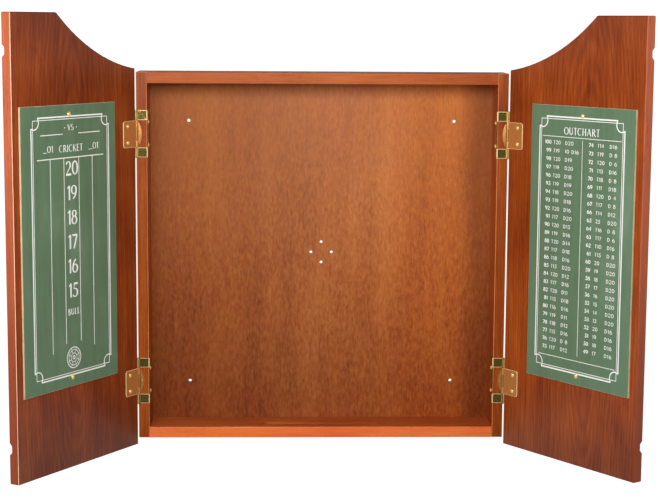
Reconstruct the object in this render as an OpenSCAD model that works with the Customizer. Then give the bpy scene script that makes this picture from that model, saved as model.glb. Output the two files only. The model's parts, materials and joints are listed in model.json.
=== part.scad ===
// Wall-hung dart board cabinet: a shallow square box with two crowned doors,
// each door carrying a thin score board and hung on two wrap-round hinges.
// Frame: X to the right, the front faces -Y, the wall is the plane y = 0, Z is up.
// The origin is the middle of the four wall-screw holes, on the back face.

/* [Cabinet box] */
// Outer width of the box
box_w = 556; // [520:1:620]
// Outer height of the box
box_h = 556; // [520:1:620]
// Depth of the box from the wall to its front edges
box_d = 68; // [60:1:90]
// Thickness of the two sides
side_t = 16; // [12:0.5:19]
// Thickness of the top and bottom boards
shelf_t = 17; // [12:0.5:19]
// Thickness of the back panel
back_t = 5; // [3:0.5:6]
// Width of the rebate that holds the back panel
rebate_w = 8; // [6:0.5:10]

/* [Chalk groove] */
// Length of the chalk groove in the bottom board
chalk_l = 176; // [120:1:220]
// Width of the chalk groove
chalk_w = 14; // [8:0.5:18]
// Depth of the chalk groove
chalk_deep = 3.5; // [2:0.5:5]
// Distance of the chalk groove's centre line from the wall
chalk_y = 45; // [30:1:55]

/* [Fixing holes] */
// Spacing across of the four wall-screw holes, sixteen inches for wall studs
wall_dx = 406.4; // [380:0.1:430]
// Spacing up and down of the four wall-screw holes
wall_dz = 405; // [380:0.5:430]
// Diameter of the wall-screw holes
wall_hole_d = 5; // [4:0.5:7]
// Circle through the four bracket holes in the middle of the back
bracket_pcd = 31.7; // [28:0.1:36]
// Diameter of the bracket holes
bracket_hole_d = 4.5; // [3.5:0.5:5.5]

/* [Doors] */
// Thickness of a door
door_t = 16; // [14:0.5:19]
// Gap between the two closed doors
door_gap = 2; // [1:0.5:4]
// Inset of the hinged edge from the side's outer face
door_inset = 3.5; // [1:0.5:4]
// Space between the box's front edges and a closed door
door_stand = 2.5; // [2:0.1:3]
// Height of the hinged corner above the top of the box
door_over = 5.2; // [2:0.2:10]
// Drop of the door below the bottom of the box
door_under = 9; // [4:0.5:14]
// Rise of the crown above the hinged corner
crown_rise = 80.8; // [60:0.2:100]
// Width of the flat crown, from the free edge
crown_flat = 97; // [80:1:120]
// Radius of the hollow sweep between crown and hinged corner
sweep_r = 340; // [300:1:420]
// Opening angle of the left door as it stands
open_left = 122.2; // [0:0.1:180]
// Opening angle of the right door as it stands
open_right = 124.4; // [0:0.1:180]

/* [Door groove] */
// Width of the groove at the door's outer face
groove_w = 17; // [12:0.5:20]
// Width of the groove's floor
groove_floor = 9; // [6:0.5:12]
// Depth of the groove, with 45 degree walls when it is half the width difference
groove_deep = 4; // [2:0.5:5]
// Distance of the groove's centre line below the crown
groove_top = 52; // [40:1:70]
// Distance of the groove's centre line above the bottom edge and in from the hinged edge
groove_in = 50; // [40:1:70]

/* [Score boards] */
// Width of each score board
board_w = 208; // [180:1:215]
// Height of each score board
board_h = 403; // [360:1:440]
// Thickness of each score board
board_t = 3; // [2:0.5:3]
// Distance of the score board from the door's free edge
board_edge = 13; // [10:1:20]
// Height of the score board's centre above the middle of the box
board_z = 34.5; // [0:0.5:50]
// Distance of the board screws from the board's upper and lower edges
board_screw_in = 13.5; // [10:0.5:20]

/* [Hinges] */
// Height of the upper hinges above the middle of the box
hinge_up = 186; // [150:1:210]
// Height of the lower hinges, below the middle of the box
hinge_down = -189; // [-210:1:-150]
// Full height of a hinge
hinge_h = 70; // [64:1:76]
// Thickness of the hinge sheet
leaf_t = 1; // [0.8:0.1:1]
// Height of each tab that wraps round the side's front edge
tab_h = 14.5; // [12:0.5:15]
// Depth of the frame leaf on the side's inner face
frame_leaf_d = 18; // [14:1:24]
// Outer radius of the knuckles
knuckle_r = 2.3; // [2:0.1:2.3]
// Radius of the hinge pin
pin_r = 1.25; // [1:0.05:1.4]
// Distance of the pin's axis inside the side's outer face
pin_in = 0.7; // [0:0.1:1]
// Width of the door leaf from the door's hinged edge
door_leaf_w = 30; // [26:1:34]
// Height of the door leaf
door_leaf_h = 40; // [36:1:42]
// Distance of the door leaf's screws from the hinged edge
leaf_screw_u = 19; // [18.8:0.1:20]

/* [Hidden] */
$fn = 48;

// A hair of overlap that keeps cuts from ending on a face
eps = 0.01;
// Half sizes of the box
half_w = box_w / 2;
half_h = box_h / 2;
// Inner faces of the sides and of the top and bottom boards
inner_x = half_w - side_t;
inner_z = half_h - shelf_t;
// Reach of the back panel's rebate from the middle of the box
panel_x = inner_x + rebate_w;
panel_z = inner_z + rebate_w;
// Play round the back panel in its rebate
panel_play = 0.2;

// Dowels in the four corner joints
dowel_r = 4;
dowel_l = 28;
dowel_in_side = 11;
dowel_play = 0.05;
dowel_depths = [18, 50];

// Nails that hold the back panel
nail_r = 0.7;
nail_l = 14;
nail_head_r = 1.9;
nail_head_t = 0.7;
nail_sunk = 0.05;
nail_play = 0.05;
nail_spread = 180;
nail_edge = 4;

// Pin axis on the right-hand side, air between knuckles and box, running clearance round the pin
pin_air = 0.1;
pin_x = half_w - pin_in;
pin_y = -box_d - knuckle_r - pin_air;
pin_play = 0.05;
pin_cap_r = 2;
pin_cap_t = 0.9;

// Heights along the pin: frame knuckle, door knuckle, spring curl
end_play = 0.4;
frame_knuckle_lo = hinge_h / 2 - tab_h;
frame_knuckle_hi = hinge_h / 2;
spring_half = 9.6;
door_knuckle_lo = spring_half + end_play;
door_knuckle_hi = frame_knuckle_lo - end_play;
leaf_corner_r = 4;

// Closing spring: a thin tongue with a round end that rests on the side's front edge
spring_t = 0.6;
spring_r = 2.1;
tongue_r = 34;
tongue_reach = 8;
tongue_half = 20;
tongue_air = 2.5;

// Screws: shank radius, wood hole play, leaf hole radius, head radius and height
shank_r = 1.5;
shank_l = 11;
tip_l = 3;
wood_play = 0.05;
leaf_hole_r = 1.9;
hinge_head_r = 3;
hinge_head_h = 1.8;
board_head_r = 3.6;
board_head_h = 2;
slot_w = 0.8;
slot_l = 3.2;
slot_deep = 0.9;
frame_screw_z = 17.5;
frame_screw_in = 12;
leaf_screw_z = 12.2;

// Right-hand door, closed: hinged edge, free edge, inner face, heights
door_x1 = half_w - door_inset;
door_x0 = door_gap / 2;
door_w = door_x1 - door_x0;
door_face = -box_d - door_stand;
door_lo = -half_h - door_under;
door_corner = half_h + door_over;
door_hi = door_corner + crown_rise;

// Sweep circle: it passes through the hinged corner and the inner end of the crown
chord_run = door_w - crown_flat;
chord_l = sqrt(chord_run * chord_run + crown_rise * crown_rise);
chord_drop = sqrt(sweep_r * sweep_r - chord_l * chord_l / 4);
sweep_x = door_x1 - chord_run / 2 + chord_drop * crown_rise / chord_l;
sweep_z = door_corner + crown_rise / 2 + chord_drop * chord_run / chord_l;

// Groove: a level run below the crown, a sweep, an upright run and a level run below,
// joined by three bends whose middles are bend_a, bend_b and bend_c
groove_z1 = door_hi - groove_top;
groove_z0 = door_lo + groove_in;
groove_x = door_x1 - groove_in;
groove_r = sweep_r + groove_top;
bend_r = 14;
far_r = groove_r + bend_r;
bend_a = [sweep_x - sqrt(pow(far_r, 2) - pow(sweep_z - groove_z1 + bend_r, 2)), groove_z1 - bend_r];
bend_b_x = groove_x - bend_r;
bend_b = [bend_b_x, sweep_z - sqrt(pow(far_r, 2) - pow(sweep_x - bend_b_x, 2))];
bend_c = [bend_b_x, groove_z0 + bend_r];
// Directions from the bends' middles to the middle of the sweep
turn_a = atan2(sweep_z - bend_a[1], sweep_x - bend_a[0]);
turn_b = atan2(sweep_z - bend_b[1], sweep_x - bend_b[0]);
// How far the groove's cutter stands out of the door's face, the slope of its walls, what it
// takes off more at a bend, and how far the runs reach into the bends
groove_past = 1;
groove_slope = (groove_w - groove_floor) / 2 / groove_deep;
bend_more = 0.04;
bend_lap = 0.5;
lap_angle = bend_lap / groove_r * 180 / PI;

// Score board on the closed right-hand door
board_x0 = door_x0 + board_edge;
board_x = board_x0 + board_w / 2;

// ---------------------------------------------------------------- placing

// Right-hand geometry as it stands, or its mirror image on the left
module on_side(side) {
    if (side < 0) mirror([1, 0, 0]) children();
    else children();
}

// A closed door's geometry turned open about its hinge pin
module on_door(side) {
    angle = side < 0 ? open_left : open_right;
    on_side(side)
        translate([pin_x, pin_y, 0])
            rotate([0, 0, angle])
                translate([-pin_x, -pin_y, 0])
                    children();
}

// Cylinder along Y with its foot at y = 0, reaching towards +Y
module rod_y(r, l) {
    rotate([-90, 0, 0]) cylinder(r = r, h = l);
}

// Cylinder along X with its foot at x = 0, reaching towards +X
module rod_x(r, l) {
    rotate([0, 90, 0]) cylinder(r = r, h = l);
}

// Plate in the XZ plane with round corners at x = w; its face is y = 0 and it is t thick
module leaf_plate(w, h, t, r) {
    translate([0, 0, -h / 2]) cube([w - r, t, h]);
    translate([0, 0, -h / 2 + r]) cube([w, t, h - 2 * r]);
    for (s = [-1, 1]) translate([w - r, 0, s * (h / 2 - r)]) rod_y(r, t);
}

// Round-head wood screw; the head stands on z = 0 and the shank runs down
module wood_screw(head_r, head_h, under) {
    ball_r = (head_r * head_r + head_h * head_h) / (2 * head_h);
    difference() {
        intersection() {
            translate([0, 0, head_h - ball_r]) sphere(r = ball_r);
            cylinder(r = head_r + 1, h = head_h);
        }
        for (a = [0, 90])
            rotate([0, 0, a])
                translate([-slot_l / 2, -slot_w / 2, head_h - slot_deep])
                    cube([slot_l, slot_w, slot_deep + 1]);
    }
    translate([0, 0, -under - shank_l]) cylinder(r = shank_r, h = shank_l + under + 0.2);
    translate([0, 0, -under - shank_l - tip_l])
        cylinder(r1 = 0.2, r2 = shank_r, h = tip_l + eps);
}

// Hole that a screw's shank runs in, down from z = 0
module screw_hole(under) {
    depth = under + shank_l + tip_l + 0.5;
    translate([0, 0, -depth]) cylinder(r = shank_r + wood_play, h = depth + 1);
}

// ---------------------------------------------------------------- box

// Rows of dowels at the right-hand corner joints
module at_dowels() {
    for (z = [-1, 1])
        for (d = dowel_depths)
            translate([inner_x, -d, z * (half_h - shelf_t / 2)]) children();
}

module dowel_holes() {
    at_dowels()
        translate([-dowel_l + dowel_in_side - 0.5, 0, 0]) rod_x(dowel_r + dowel_play, dowel_l + 1);
}

// Places of the nails round the back panel, on the wall plane
module at_nails() {
    for (a = [-1, 0, 1])
        for (s = [-1, 1]) {
            translate([a * nail_spread, 0, s * (inner_z + nail_edge)]) children();
            translate([s * (inner_x + nail_edge), 0, a * nail_spread]) children();
        }
}

module nail_holes() {
    at_nails() translate([0, -nail_l - 1, 0]) rod_y(nail_r + nail_play, nail_l + 2);
}

module frame_screw_places() {
    for (z = [hinge_up, hinge_down])
        for (s = [-1, 1])
            translate([inner_x, -box_d + frame_screw_in, z + s * frame_screw_z])
                rotate([0, -90, 0]) children();
}

module side_shape() {
    difference() {
        translate([inner_x, -box_d, -half_h]) cube([side_t, box_d, box_h]);
        translate([inner_x - eps, -back_t, -panel_z]) cube([rebate_w + eps, back_t + 1, 2 * panel_z]);
        dowel_holes();
        nail_holes();
        frame_screw_places() screw_hole(0);
    }
}

module side_right() {
    color("saddlebrown") side_shape();
}

module side_left() {
    color("saddlebrown") on_side(-1) side_shape();
}

// Top board; the bottom board is the same turned over
module shelf_shape() {
    difference() {
        translate([-inner_x, -box_d, inner_z]) cube([2 * inner_x, box_d, shelf_t]);
        translate([-inner_x - 1, -back_t, inner_z - eps])
            cube([2 * inner_x + 2, back_t + 1, rebate_w + eps]);
        dowel_holes();
        on_side(-1) dowel_holes();
        nail_holes();
    }
}

module top_board() {
    color("saddlebrown") shelf_shape();
}

// Shallow groove with round ends that keeps chalk from rolling out
module chalk_groove() {
    run = chalk_l - chalk_w;
    translate([0, -chalk_y, -inner_z - chalk_deep]) {
        translate([-run / 2, -chalk_w / 2, 0]) cube([run, chalk_w, chalk_deep + 1]);
        for (s = [-1, 1]) translate([s * run / 2, 0, 0]) cylinder(d = chalk_w, h = chalk_deep + 1);
    }
}

module bottom_board() {
    color("saddlebrown") difference() {
        mirror([0, 0, 1]) shelf_shape();
        chalk_groove();
    }
}

module back_panel() {
    w = 2 * (panel_x - panel_play);
    h = 2 * (panel_z - panel_play);
    color("sienna") difference() {
        translate([-w / 2, -back_t, -h / 2]) cube([w, back_t, h]);
        for (x = [-1, 1])
            for (z = [-1, 1])
                translate([x * wall_dx / 2, -back_t - 1, z * wall_dz / 2])
                    rod_y(wall_hole_d / 2, back_t + 2);
        for (a = [0, 90, 180, 270])
            rotate([0, a, 0])
                translate([bracket_pcd / 2, -back_t - 1, 0]) rod_y(bracket_hole_d / 2, back_t + 2);
        nail_holes();
        at_nails()
            translate([0, -nail_head_t - 2 * nail_sunk, 0]) rod_y(nail_head_r + nail_sunk, 2);
    }
}

module corner_dowels() {
    color("burlywood") for (side = [-1, 1])
        on_side(side) at_dowels() translate([-dowel_l + dowel_in_side, 0, 0]) rod_x(dowel_r, dowel_l);
}

module panel_nails() {
    color("gray") at_nails() {
        translate([0, -nail_l, 0]) rod_y(nail_r, nail_l - nail_sunk - nail_head_t + eps);
        translate([0, -nail_head_t - nail_sunk, 0]) rod_y(nail_head_r, nail_head_t);
    }
}

// ---------------------------------------------------------------- hinges

module at_hinge(side, z) {
    on_side(side) translate([0, 0, z]) children();
}

module pin_bore() {
    translate([pin_x, pin_y, -hinge_h]) cylinder(r = pin_r + pin_play, h = 2 * hinge_h);
}

module knuckle(lo, hi, r) {
    translate([pin_x, pin_y, lo]) cylinder(r = r, h = hi - lo);
}

// Sheet on the side's inner face, two tabs round its front edge, and their knuckles
module frame_leaf_shape() {
    difference() {
        union() {
            translate([inner_x - leaf_t, -box_d, -hinge_h / 2]) cube([leaf_t, frame_leaf_d, hinge_h]);
            for (s = [0, 1]) mirror([0, 0, s]) {
                translate([inner_x - leaf_t, -box_d - leaf_t, hinge_h / 2 - tab_h])
                    cube([pin_x - inner_x + leaf_t, leaf_t, tab_h]);
                knuckle(frame_knuckle_lo, frame_knuckle_hi, knuckle_r);
            }
        }
        pin_bore();
        for (s = [-1, 1])
            translate([inner_x - leaf_t - 1, -box_d + frame_screw_in, s * frame_screw_z])
                rod_x(leaf_hole_r, leaf_t + 2);
    }
}

module frame_leaf(side, z) {
    color("goldenrod") at_hinge(side, z) frame_leaf_shape();
}

module hinge_pin(side, z) {
    color("darkgoldenrod") at_hinge(side, z) {
        translate([pin_x, pin_y, -frame_knuckle_hi]) cylinder(r = pin_r, h = 2 * frame_knuckle_hi);
        for (s = [0, 1]) mirror([0, 0, s])
            translate([pin_x, pin_y, frame_knuckle_hi]) cylinder(r = pin_cap_r, h = pin_cap_t);
    }
}

// Curl round the pin with a round-ended tongue over the side's front edge
module closing_spring(side, z) {
    color("gold") at_hinge(side, z) difference() {
        union() {
            knuckle(-spring_half, spring_half, spring_r);
            intersection() {
                union() {
                    translate([pin_x - tongue_reach - 1, pin_y + spring_r - spring_t, -spring_half])
                        cube([tongue_reach + 1, spring_t, 2 * spring_half]);
                    translate([pin_x - tongue_reach - 1, pin_y + spring_r - spring_t, -tongue_half])
                        cube([tongue_reach + 1 - tongue_air, spring_t, 2 * tongue_half]);
                }
                translate([pin_x - tongue_reach + tongue_r, pin_y, 0]) rod_y(tongue_r, 2 * spring_r);
            }
        }
        pin_bore();
    }
}

// Sheet on the closed door's inner face with two knuckles and a window for the spring
module door_leaf_shape() {
    reach = pin_x - door_x1;
    difference() {
        union() {
            translate([pin_x, door_face, 0])
                mirror([1, 0, 0]) leaf_plate(door_leaf_w + reach, door_leaf_h, leaf_t, leaf_corner_r);
            for (s = [0, 1]) mirror([0, 0, s]) knuckle(door_knuckle_lo, door_knuckle_hi, knuckle_r);
        }
        pin_bore();
        translate([pin_x - reach - 0.2, door_face - 1, -door_knuckle_lo])
            cube([reach + 1, leaf_t + 2, 2 * door_knuckle_lo]);
        for (s = [-1, 1])
            translate([door_x1 - leaf_screw_u, door_face - 1, s * leaf_screw_z])
                rod_y(leaf_hole_r, leaf_t + 2);
    }
}

module door_leaf(side, z) {
    color("goldenrod") on_door(side) translate([0, 0, z]) door_leaf_shape();
}

module frame_leaf_screws() {
    color("gold") for (side = [-1, 1])
        on_side(side) frame_screw_places()
            translate([0, 0, leaf_t]) wood_screw(hinge_head_r, hinge_head_h, leaf_t);
}

// ---------------------------------------------------------------- doors

module door_leaf_screw_places() {
    for (z = [hinge_up, hinge_down])
        for (s = [-1, 1])
            translate([door_x1 - leaf_screw_u, door_face, z + s * leaf_screw_z])
                rotate([-90, 0, 0]) children();
}

module board_screw_places() {
    for (s = [-1, 1])
        translate([board_x, door_face, board_z + s * (board_h / 2 - board_screw_in)])
            rotate([-90, 0, 0]) children();
}

// Section across the groove, larger by more: x is across, y is into the door; the sloped
// walls run on past the door's face
module groove_section(more) {
    mouth = groove_w / 2 + (groove_past + more) * groove_slope + 2 * more;
    foot = groove_floor / 2 - more * groove_slope + 2 * more;
    polygon([
        [-mouth, -groove_past - more], [-foot, groove_deep + more],
        [foot, groove_deep + more], [mouth, -groove_past - more]
    ]);
}

// Level run of the groove from the free edge to x, at height z
module groove_level(x, z) {
    translate([-1, 0, z]) rotate([90, 0, 90]) linear_extrude(x + bend_lap + 1)
        rotate(90) mirror([0, 1]) groove_section(0);
}

// Upright run of the groove between two heights
module groove_upright(z0, z1) {
    translate([groove_x, 0, z0 - bend_lap])
        linear_extrude(z1 - z0 + 2 * bend_lap) groove_section(0);
}

// Part of a ring of the groove about the point mid, from angle a0 to a1
module groove_arc(mid, r, a0, a1, more) {
    translate([mid[0], 0, mid[1]]) rotate([90, 0, 0]) rotate([0, 0, a0])
        rotate_extrude(angle = a1 - a0, $fn = 180)
            translate([r, 0]) mirror([0, 1]) groove_section(more);
}

// Border groove cut in the door's outer face
module door_groove() {
    translate([0, door_face - door_t, 0]) {
        groove_level(bend_a[0], groove_z1);
        groove_arc(bend_a, bend_r, turn_a, 90, bend_more);
        groove_arc([sweep_x, sweep_z], groove_r, turn_a - 180 - lap_angle,
                   turn_b - 180 + lap_angle, 0);
        groove_arc(bend_b, bend_r, 0, turn_b, bend_more);
        groove_upright(bend_c[1], bend_b[1]);
        groove_arc(bend_c, bend_r, -90, 0, bend_more);
        groove_level(bend_c[0], groove_z0);
    }
}

module door_shape() {
    difference() {
        translate([door_x0, door_face - door_t, door_lo]) cube([door_w, door_t, door_hi - door_lo]);
        translate([sweep_x, door_face - door_t - 1, sweep_z]) rod_y(sweep_r, door_t + 2, $fn = 240);
        door_groove();
        door_leaf_screw_places() screw_hole(0);
        board_screw_places() screw_hole(0);
    }
}

module door_left() {
    color("brown") on_door(-1) door_shape();
}

module door_right() {
    color("brown") on_door(1) door_shape();
}

module door_leaf_screws(side) {
    color("gold") on_door(side) door_leaf_screw_places()
        translate([0, 0, leaf_t]) wood_screw(hinge_head_r, hinge_head_h, leaf_t);
}

// Thin board on the door's inner face
module score_board(side) {
    color("darkseagreen") on_door(side) difference() {
        translate([board_x0, door_face, board_z - board_h / 2]) cube([board_w, board_t, board_h]);
        board_screw_places() translate([0, 0, -1]) cylinder(r = leaf_hole_r, h = board_t + 2);
    }
}

module board_screws(side) {
    color("gold") on_door(side) board_screw_places()
        translate([0, 0, board_t]) wood_screw(board_head_r, board_head_h, 0);
}

// ---------------------------------------------------------------- nodes

module upper_left_frame_leaf() { frame_leaf(-1, hinge_up); }
module lower_left_frame_leaf() { frame_leaf(-1, hinge_down); }
module upper_right_frame_leaf() { frame_leaf(1, hinge_up); }
module lower_right_frame_leaf() { frame_leaf(1, hinge_down); }
module upper_left_hinge_pin() { hinge_pin(-1, hinge_up); }
module lower_left_hinge_pin() { hinge_pin(-1, hinge_down); }
module upper_right_hinge_pin() { hinge_pin(1, hinge_up); }
module lower_right_hinge_pin() { hinge_pin(1, hinge_down); }
module upper_left_closing_spring() { closing_spring(-1, hinge_up); }
module lower_left_closing_spring() { closing_spring(-1, hinge_down); }
module upper_right_closing_spring() { closing_spring(1, hinge_up); }
module lower_right_closing_spring() { closing_spring(1, hinge_down); }
module upper_left_door_leaf() { door_leaf(-1, hinge_up); }
module lower_left_door_leaf() { door_leaf(-1, hinge_down); }
module upper_right_door_leaf() { door_leaf(1, hinge_up); }
module lower_right_door_leaf() { door_leaf(1, hinge_down); }
module left_door_leaf_screws() { door_leaf_screws(-1); }
module right_door_leaf_screws() { door_leaf_screws(1); }
module score_board_left() { score_board(-1); }
module score_board_right() { score_board(1); }
module left_board_screws() { board_screws(-1); }
module right_board_screws() { board_screws(1); }

side_left();
side_right();
top_board();
bottom_board();
back_panel();
corner_dowels();
panel_nails();
upper_left_frame_leaf();
lower_left_frame_leaf();
upper_right_frame_leaf();
lower_right_frame_leaf();
upper_left_hinge_pin();
lower_left_hinge_pin();
upper_right_hinge_pin();
lower_right_hinge_pin();
upper_left_closing_spring();
lower_left_closing_spring();
upper_right_closing_spring();
lower_right_closing_spring();
frame_leaf_screws();
door_left();
upper_left_door_leaf();
lower_left_door_leaf();
left_door_leaf_screws();
score_board_left();
left_board_screws();
door_right();
upper_right_door_leaf();
lower_right_door_leaf();
right_door_leaf_screws();
score_board_right();
right_board_screws();
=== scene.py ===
"""Looks of a wall-hung dart board cabinet.

A shallow box of stained boards stands open: two crowned doors carry printed score boards
on their inner faces and turn on four brass wrap-round hinges.
"""

import json
import logging
import math
from collections.abc import Callable, Sequence
from dataclasses import dataclass, field
from enum import Enum

import bmesh
import bpy
from mathutils import Matrix, Vector


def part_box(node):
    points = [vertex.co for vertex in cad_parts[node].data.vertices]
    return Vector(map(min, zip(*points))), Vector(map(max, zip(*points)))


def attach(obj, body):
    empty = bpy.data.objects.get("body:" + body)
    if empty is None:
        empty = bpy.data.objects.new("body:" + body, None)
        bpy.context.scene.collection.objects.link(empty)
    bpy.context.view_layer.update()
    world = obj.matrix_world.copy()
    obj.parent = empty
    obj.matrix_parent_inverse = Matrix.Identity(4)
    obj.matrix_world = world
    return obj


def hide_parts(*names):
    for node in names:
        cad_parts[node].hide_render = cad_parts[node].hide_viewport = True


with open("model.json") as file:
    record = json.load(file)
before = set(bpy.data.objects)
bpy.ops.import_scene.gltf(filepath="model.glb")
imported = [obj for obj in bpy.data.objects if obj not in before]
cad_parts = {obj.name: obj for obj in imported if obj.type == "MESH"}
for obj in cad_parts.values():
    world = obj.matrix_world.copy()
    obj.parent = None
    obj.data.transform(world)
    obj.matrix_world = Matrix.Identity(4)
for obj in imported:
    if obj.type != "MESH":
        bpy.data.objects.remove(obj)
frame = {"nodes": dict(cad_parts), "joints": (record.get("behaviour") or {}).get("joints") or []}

LOG = logging.getLogger("cabinet")
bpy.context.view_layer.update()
NODES: dict[str, bpy.types.Object] = frame["nodes"]
JOINTS: dict[str, dict] = {joint["name"]: joint for joint in frame["joints"]}
MM = 0.001
MERGE = 0.002 * MM  # points closer than this are one
TOUCH = 0.02 * MM  # an edge this near to a plane lies in it
Colour = tuple[float, float, float, float]
Tones = tuple[Colour, Colour, Colour]
Point2 = tuple[float, float]
Triple = tuple[float, float, float]


def chart(red: float, green: float, blue: float) -> Colour:
    """Turn a paint-chart colour into the linear one that shaders take.

    Args:
        red: Red, from 0 to 255.
        green: Green, from 0 to 255.
        blue: Blue, from 0 to 255.

    Returns:
        The linear colour with full alpha.
    """

    def linear(part: float) -> float:
        """One channel, made linear."""
        share = part / 255.0
        return share / 12.92 if share <= 0.04045 else ((share + 0.055) / 1.055) ** 2.4

    return (linear(red), linear(green), linear(blue), 1.0)


# ---------------------------------------------------------------- sides and door coordinates


class Side(Enum):
    """The two halves of the cabinet; the value is the sign of X."""

    LEFT = -1
    RIGHT = 1

    @property
    def word(self) -> str:
        """The side's name as piece names spell it."""
        return self.name.lower()

    @property
    def body(self) -> str:
        """The body that this side's door rides on."""
        return f"{self.word}_door"

    @property
    def pin(self) -> Vector:
        """A point on the hinge pin's axis."""
        return Vector(JOINTS[f"{self.word}_door_hinge"]["pos_m"])

    @property
    def angle(self) -> float:
        """How far the door stands open, turned about Z, in radians."""
        lowest = JOINTS[f"{self.word}_door_hinge"]["range_deg"][0]
        return self.value * math.radians(-lowest)

    @property
    def opened(self) -> Matrix:
        """The turn about the pin that takes a closed door to where it stands."""
        there = Matrix.Translation(self.pin)
        return there @ Matrix.Rotation(self.angle, 4, "Z") @ there.inverted()


# ---------------------------------------------------------------- shader maths


class Tap:
    """One output socket of a node, with arithmetic that adds Math nodes."""

    def __init__(self, bench: "Bench", socket: bpy.types.NodeSocket) -> None:
        """Keep the socket and the bench that it belongs to."""
        self.bench = bench
        self.socket = socket

    def _math(self, operation: str, first: "Tap | float", second: "Tap | float" = 0.0) -> "Tap":
        """Add one Math node and return its result."""
        return self.bench.add("ShaderNodeMath", {"operation": operation}, {0: first, 1: second})

    def __add__(self, other: "Tap | float") -> "Tap":
        """Sum."""
        return self._math("ADD", self, other)

    __radd__ = __add__

    def __sub__(self, other: "Tap | float") -> "Tap":
        """Difference."""
        return self._math("SUBTRACT", self, other)

    def __rsub__(self, other: "Tap | float") -> "Tap":
        """Difference, the other way round."""
        return self._math("SUBTRACT", other, self)

    def __mul__(self, other: "Tap | float") -> "Tap":
        """Product."""
        return self._math("MULTIPLY", self, other)

    __rmul__ = __mul__

    def sine(self) -> "Tap":
        """Sine of the value, in radians."""
        return self._math("SINE", self)

    def size(self) -> "Tap":
        """Value without its sign."""
        return self._math("ABSOLUTE", self)

    def over(self, low: float, high: float) -> "Tap":
        """Rise smoothly from 0 at low to 1 at high.

        Args:
            low: Value where the result is 0.
            high: Value where the result is 1.

        Returns:
            The smooth step.
        """
        return self.bench.add(
            "ShaderNodeMapRange",
            {"interpolation_type": "SMOOTHSTEP"},
            {0: self, 1: low, 2: high, 3: 0.0, 4: 1.0},
        )


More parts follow.
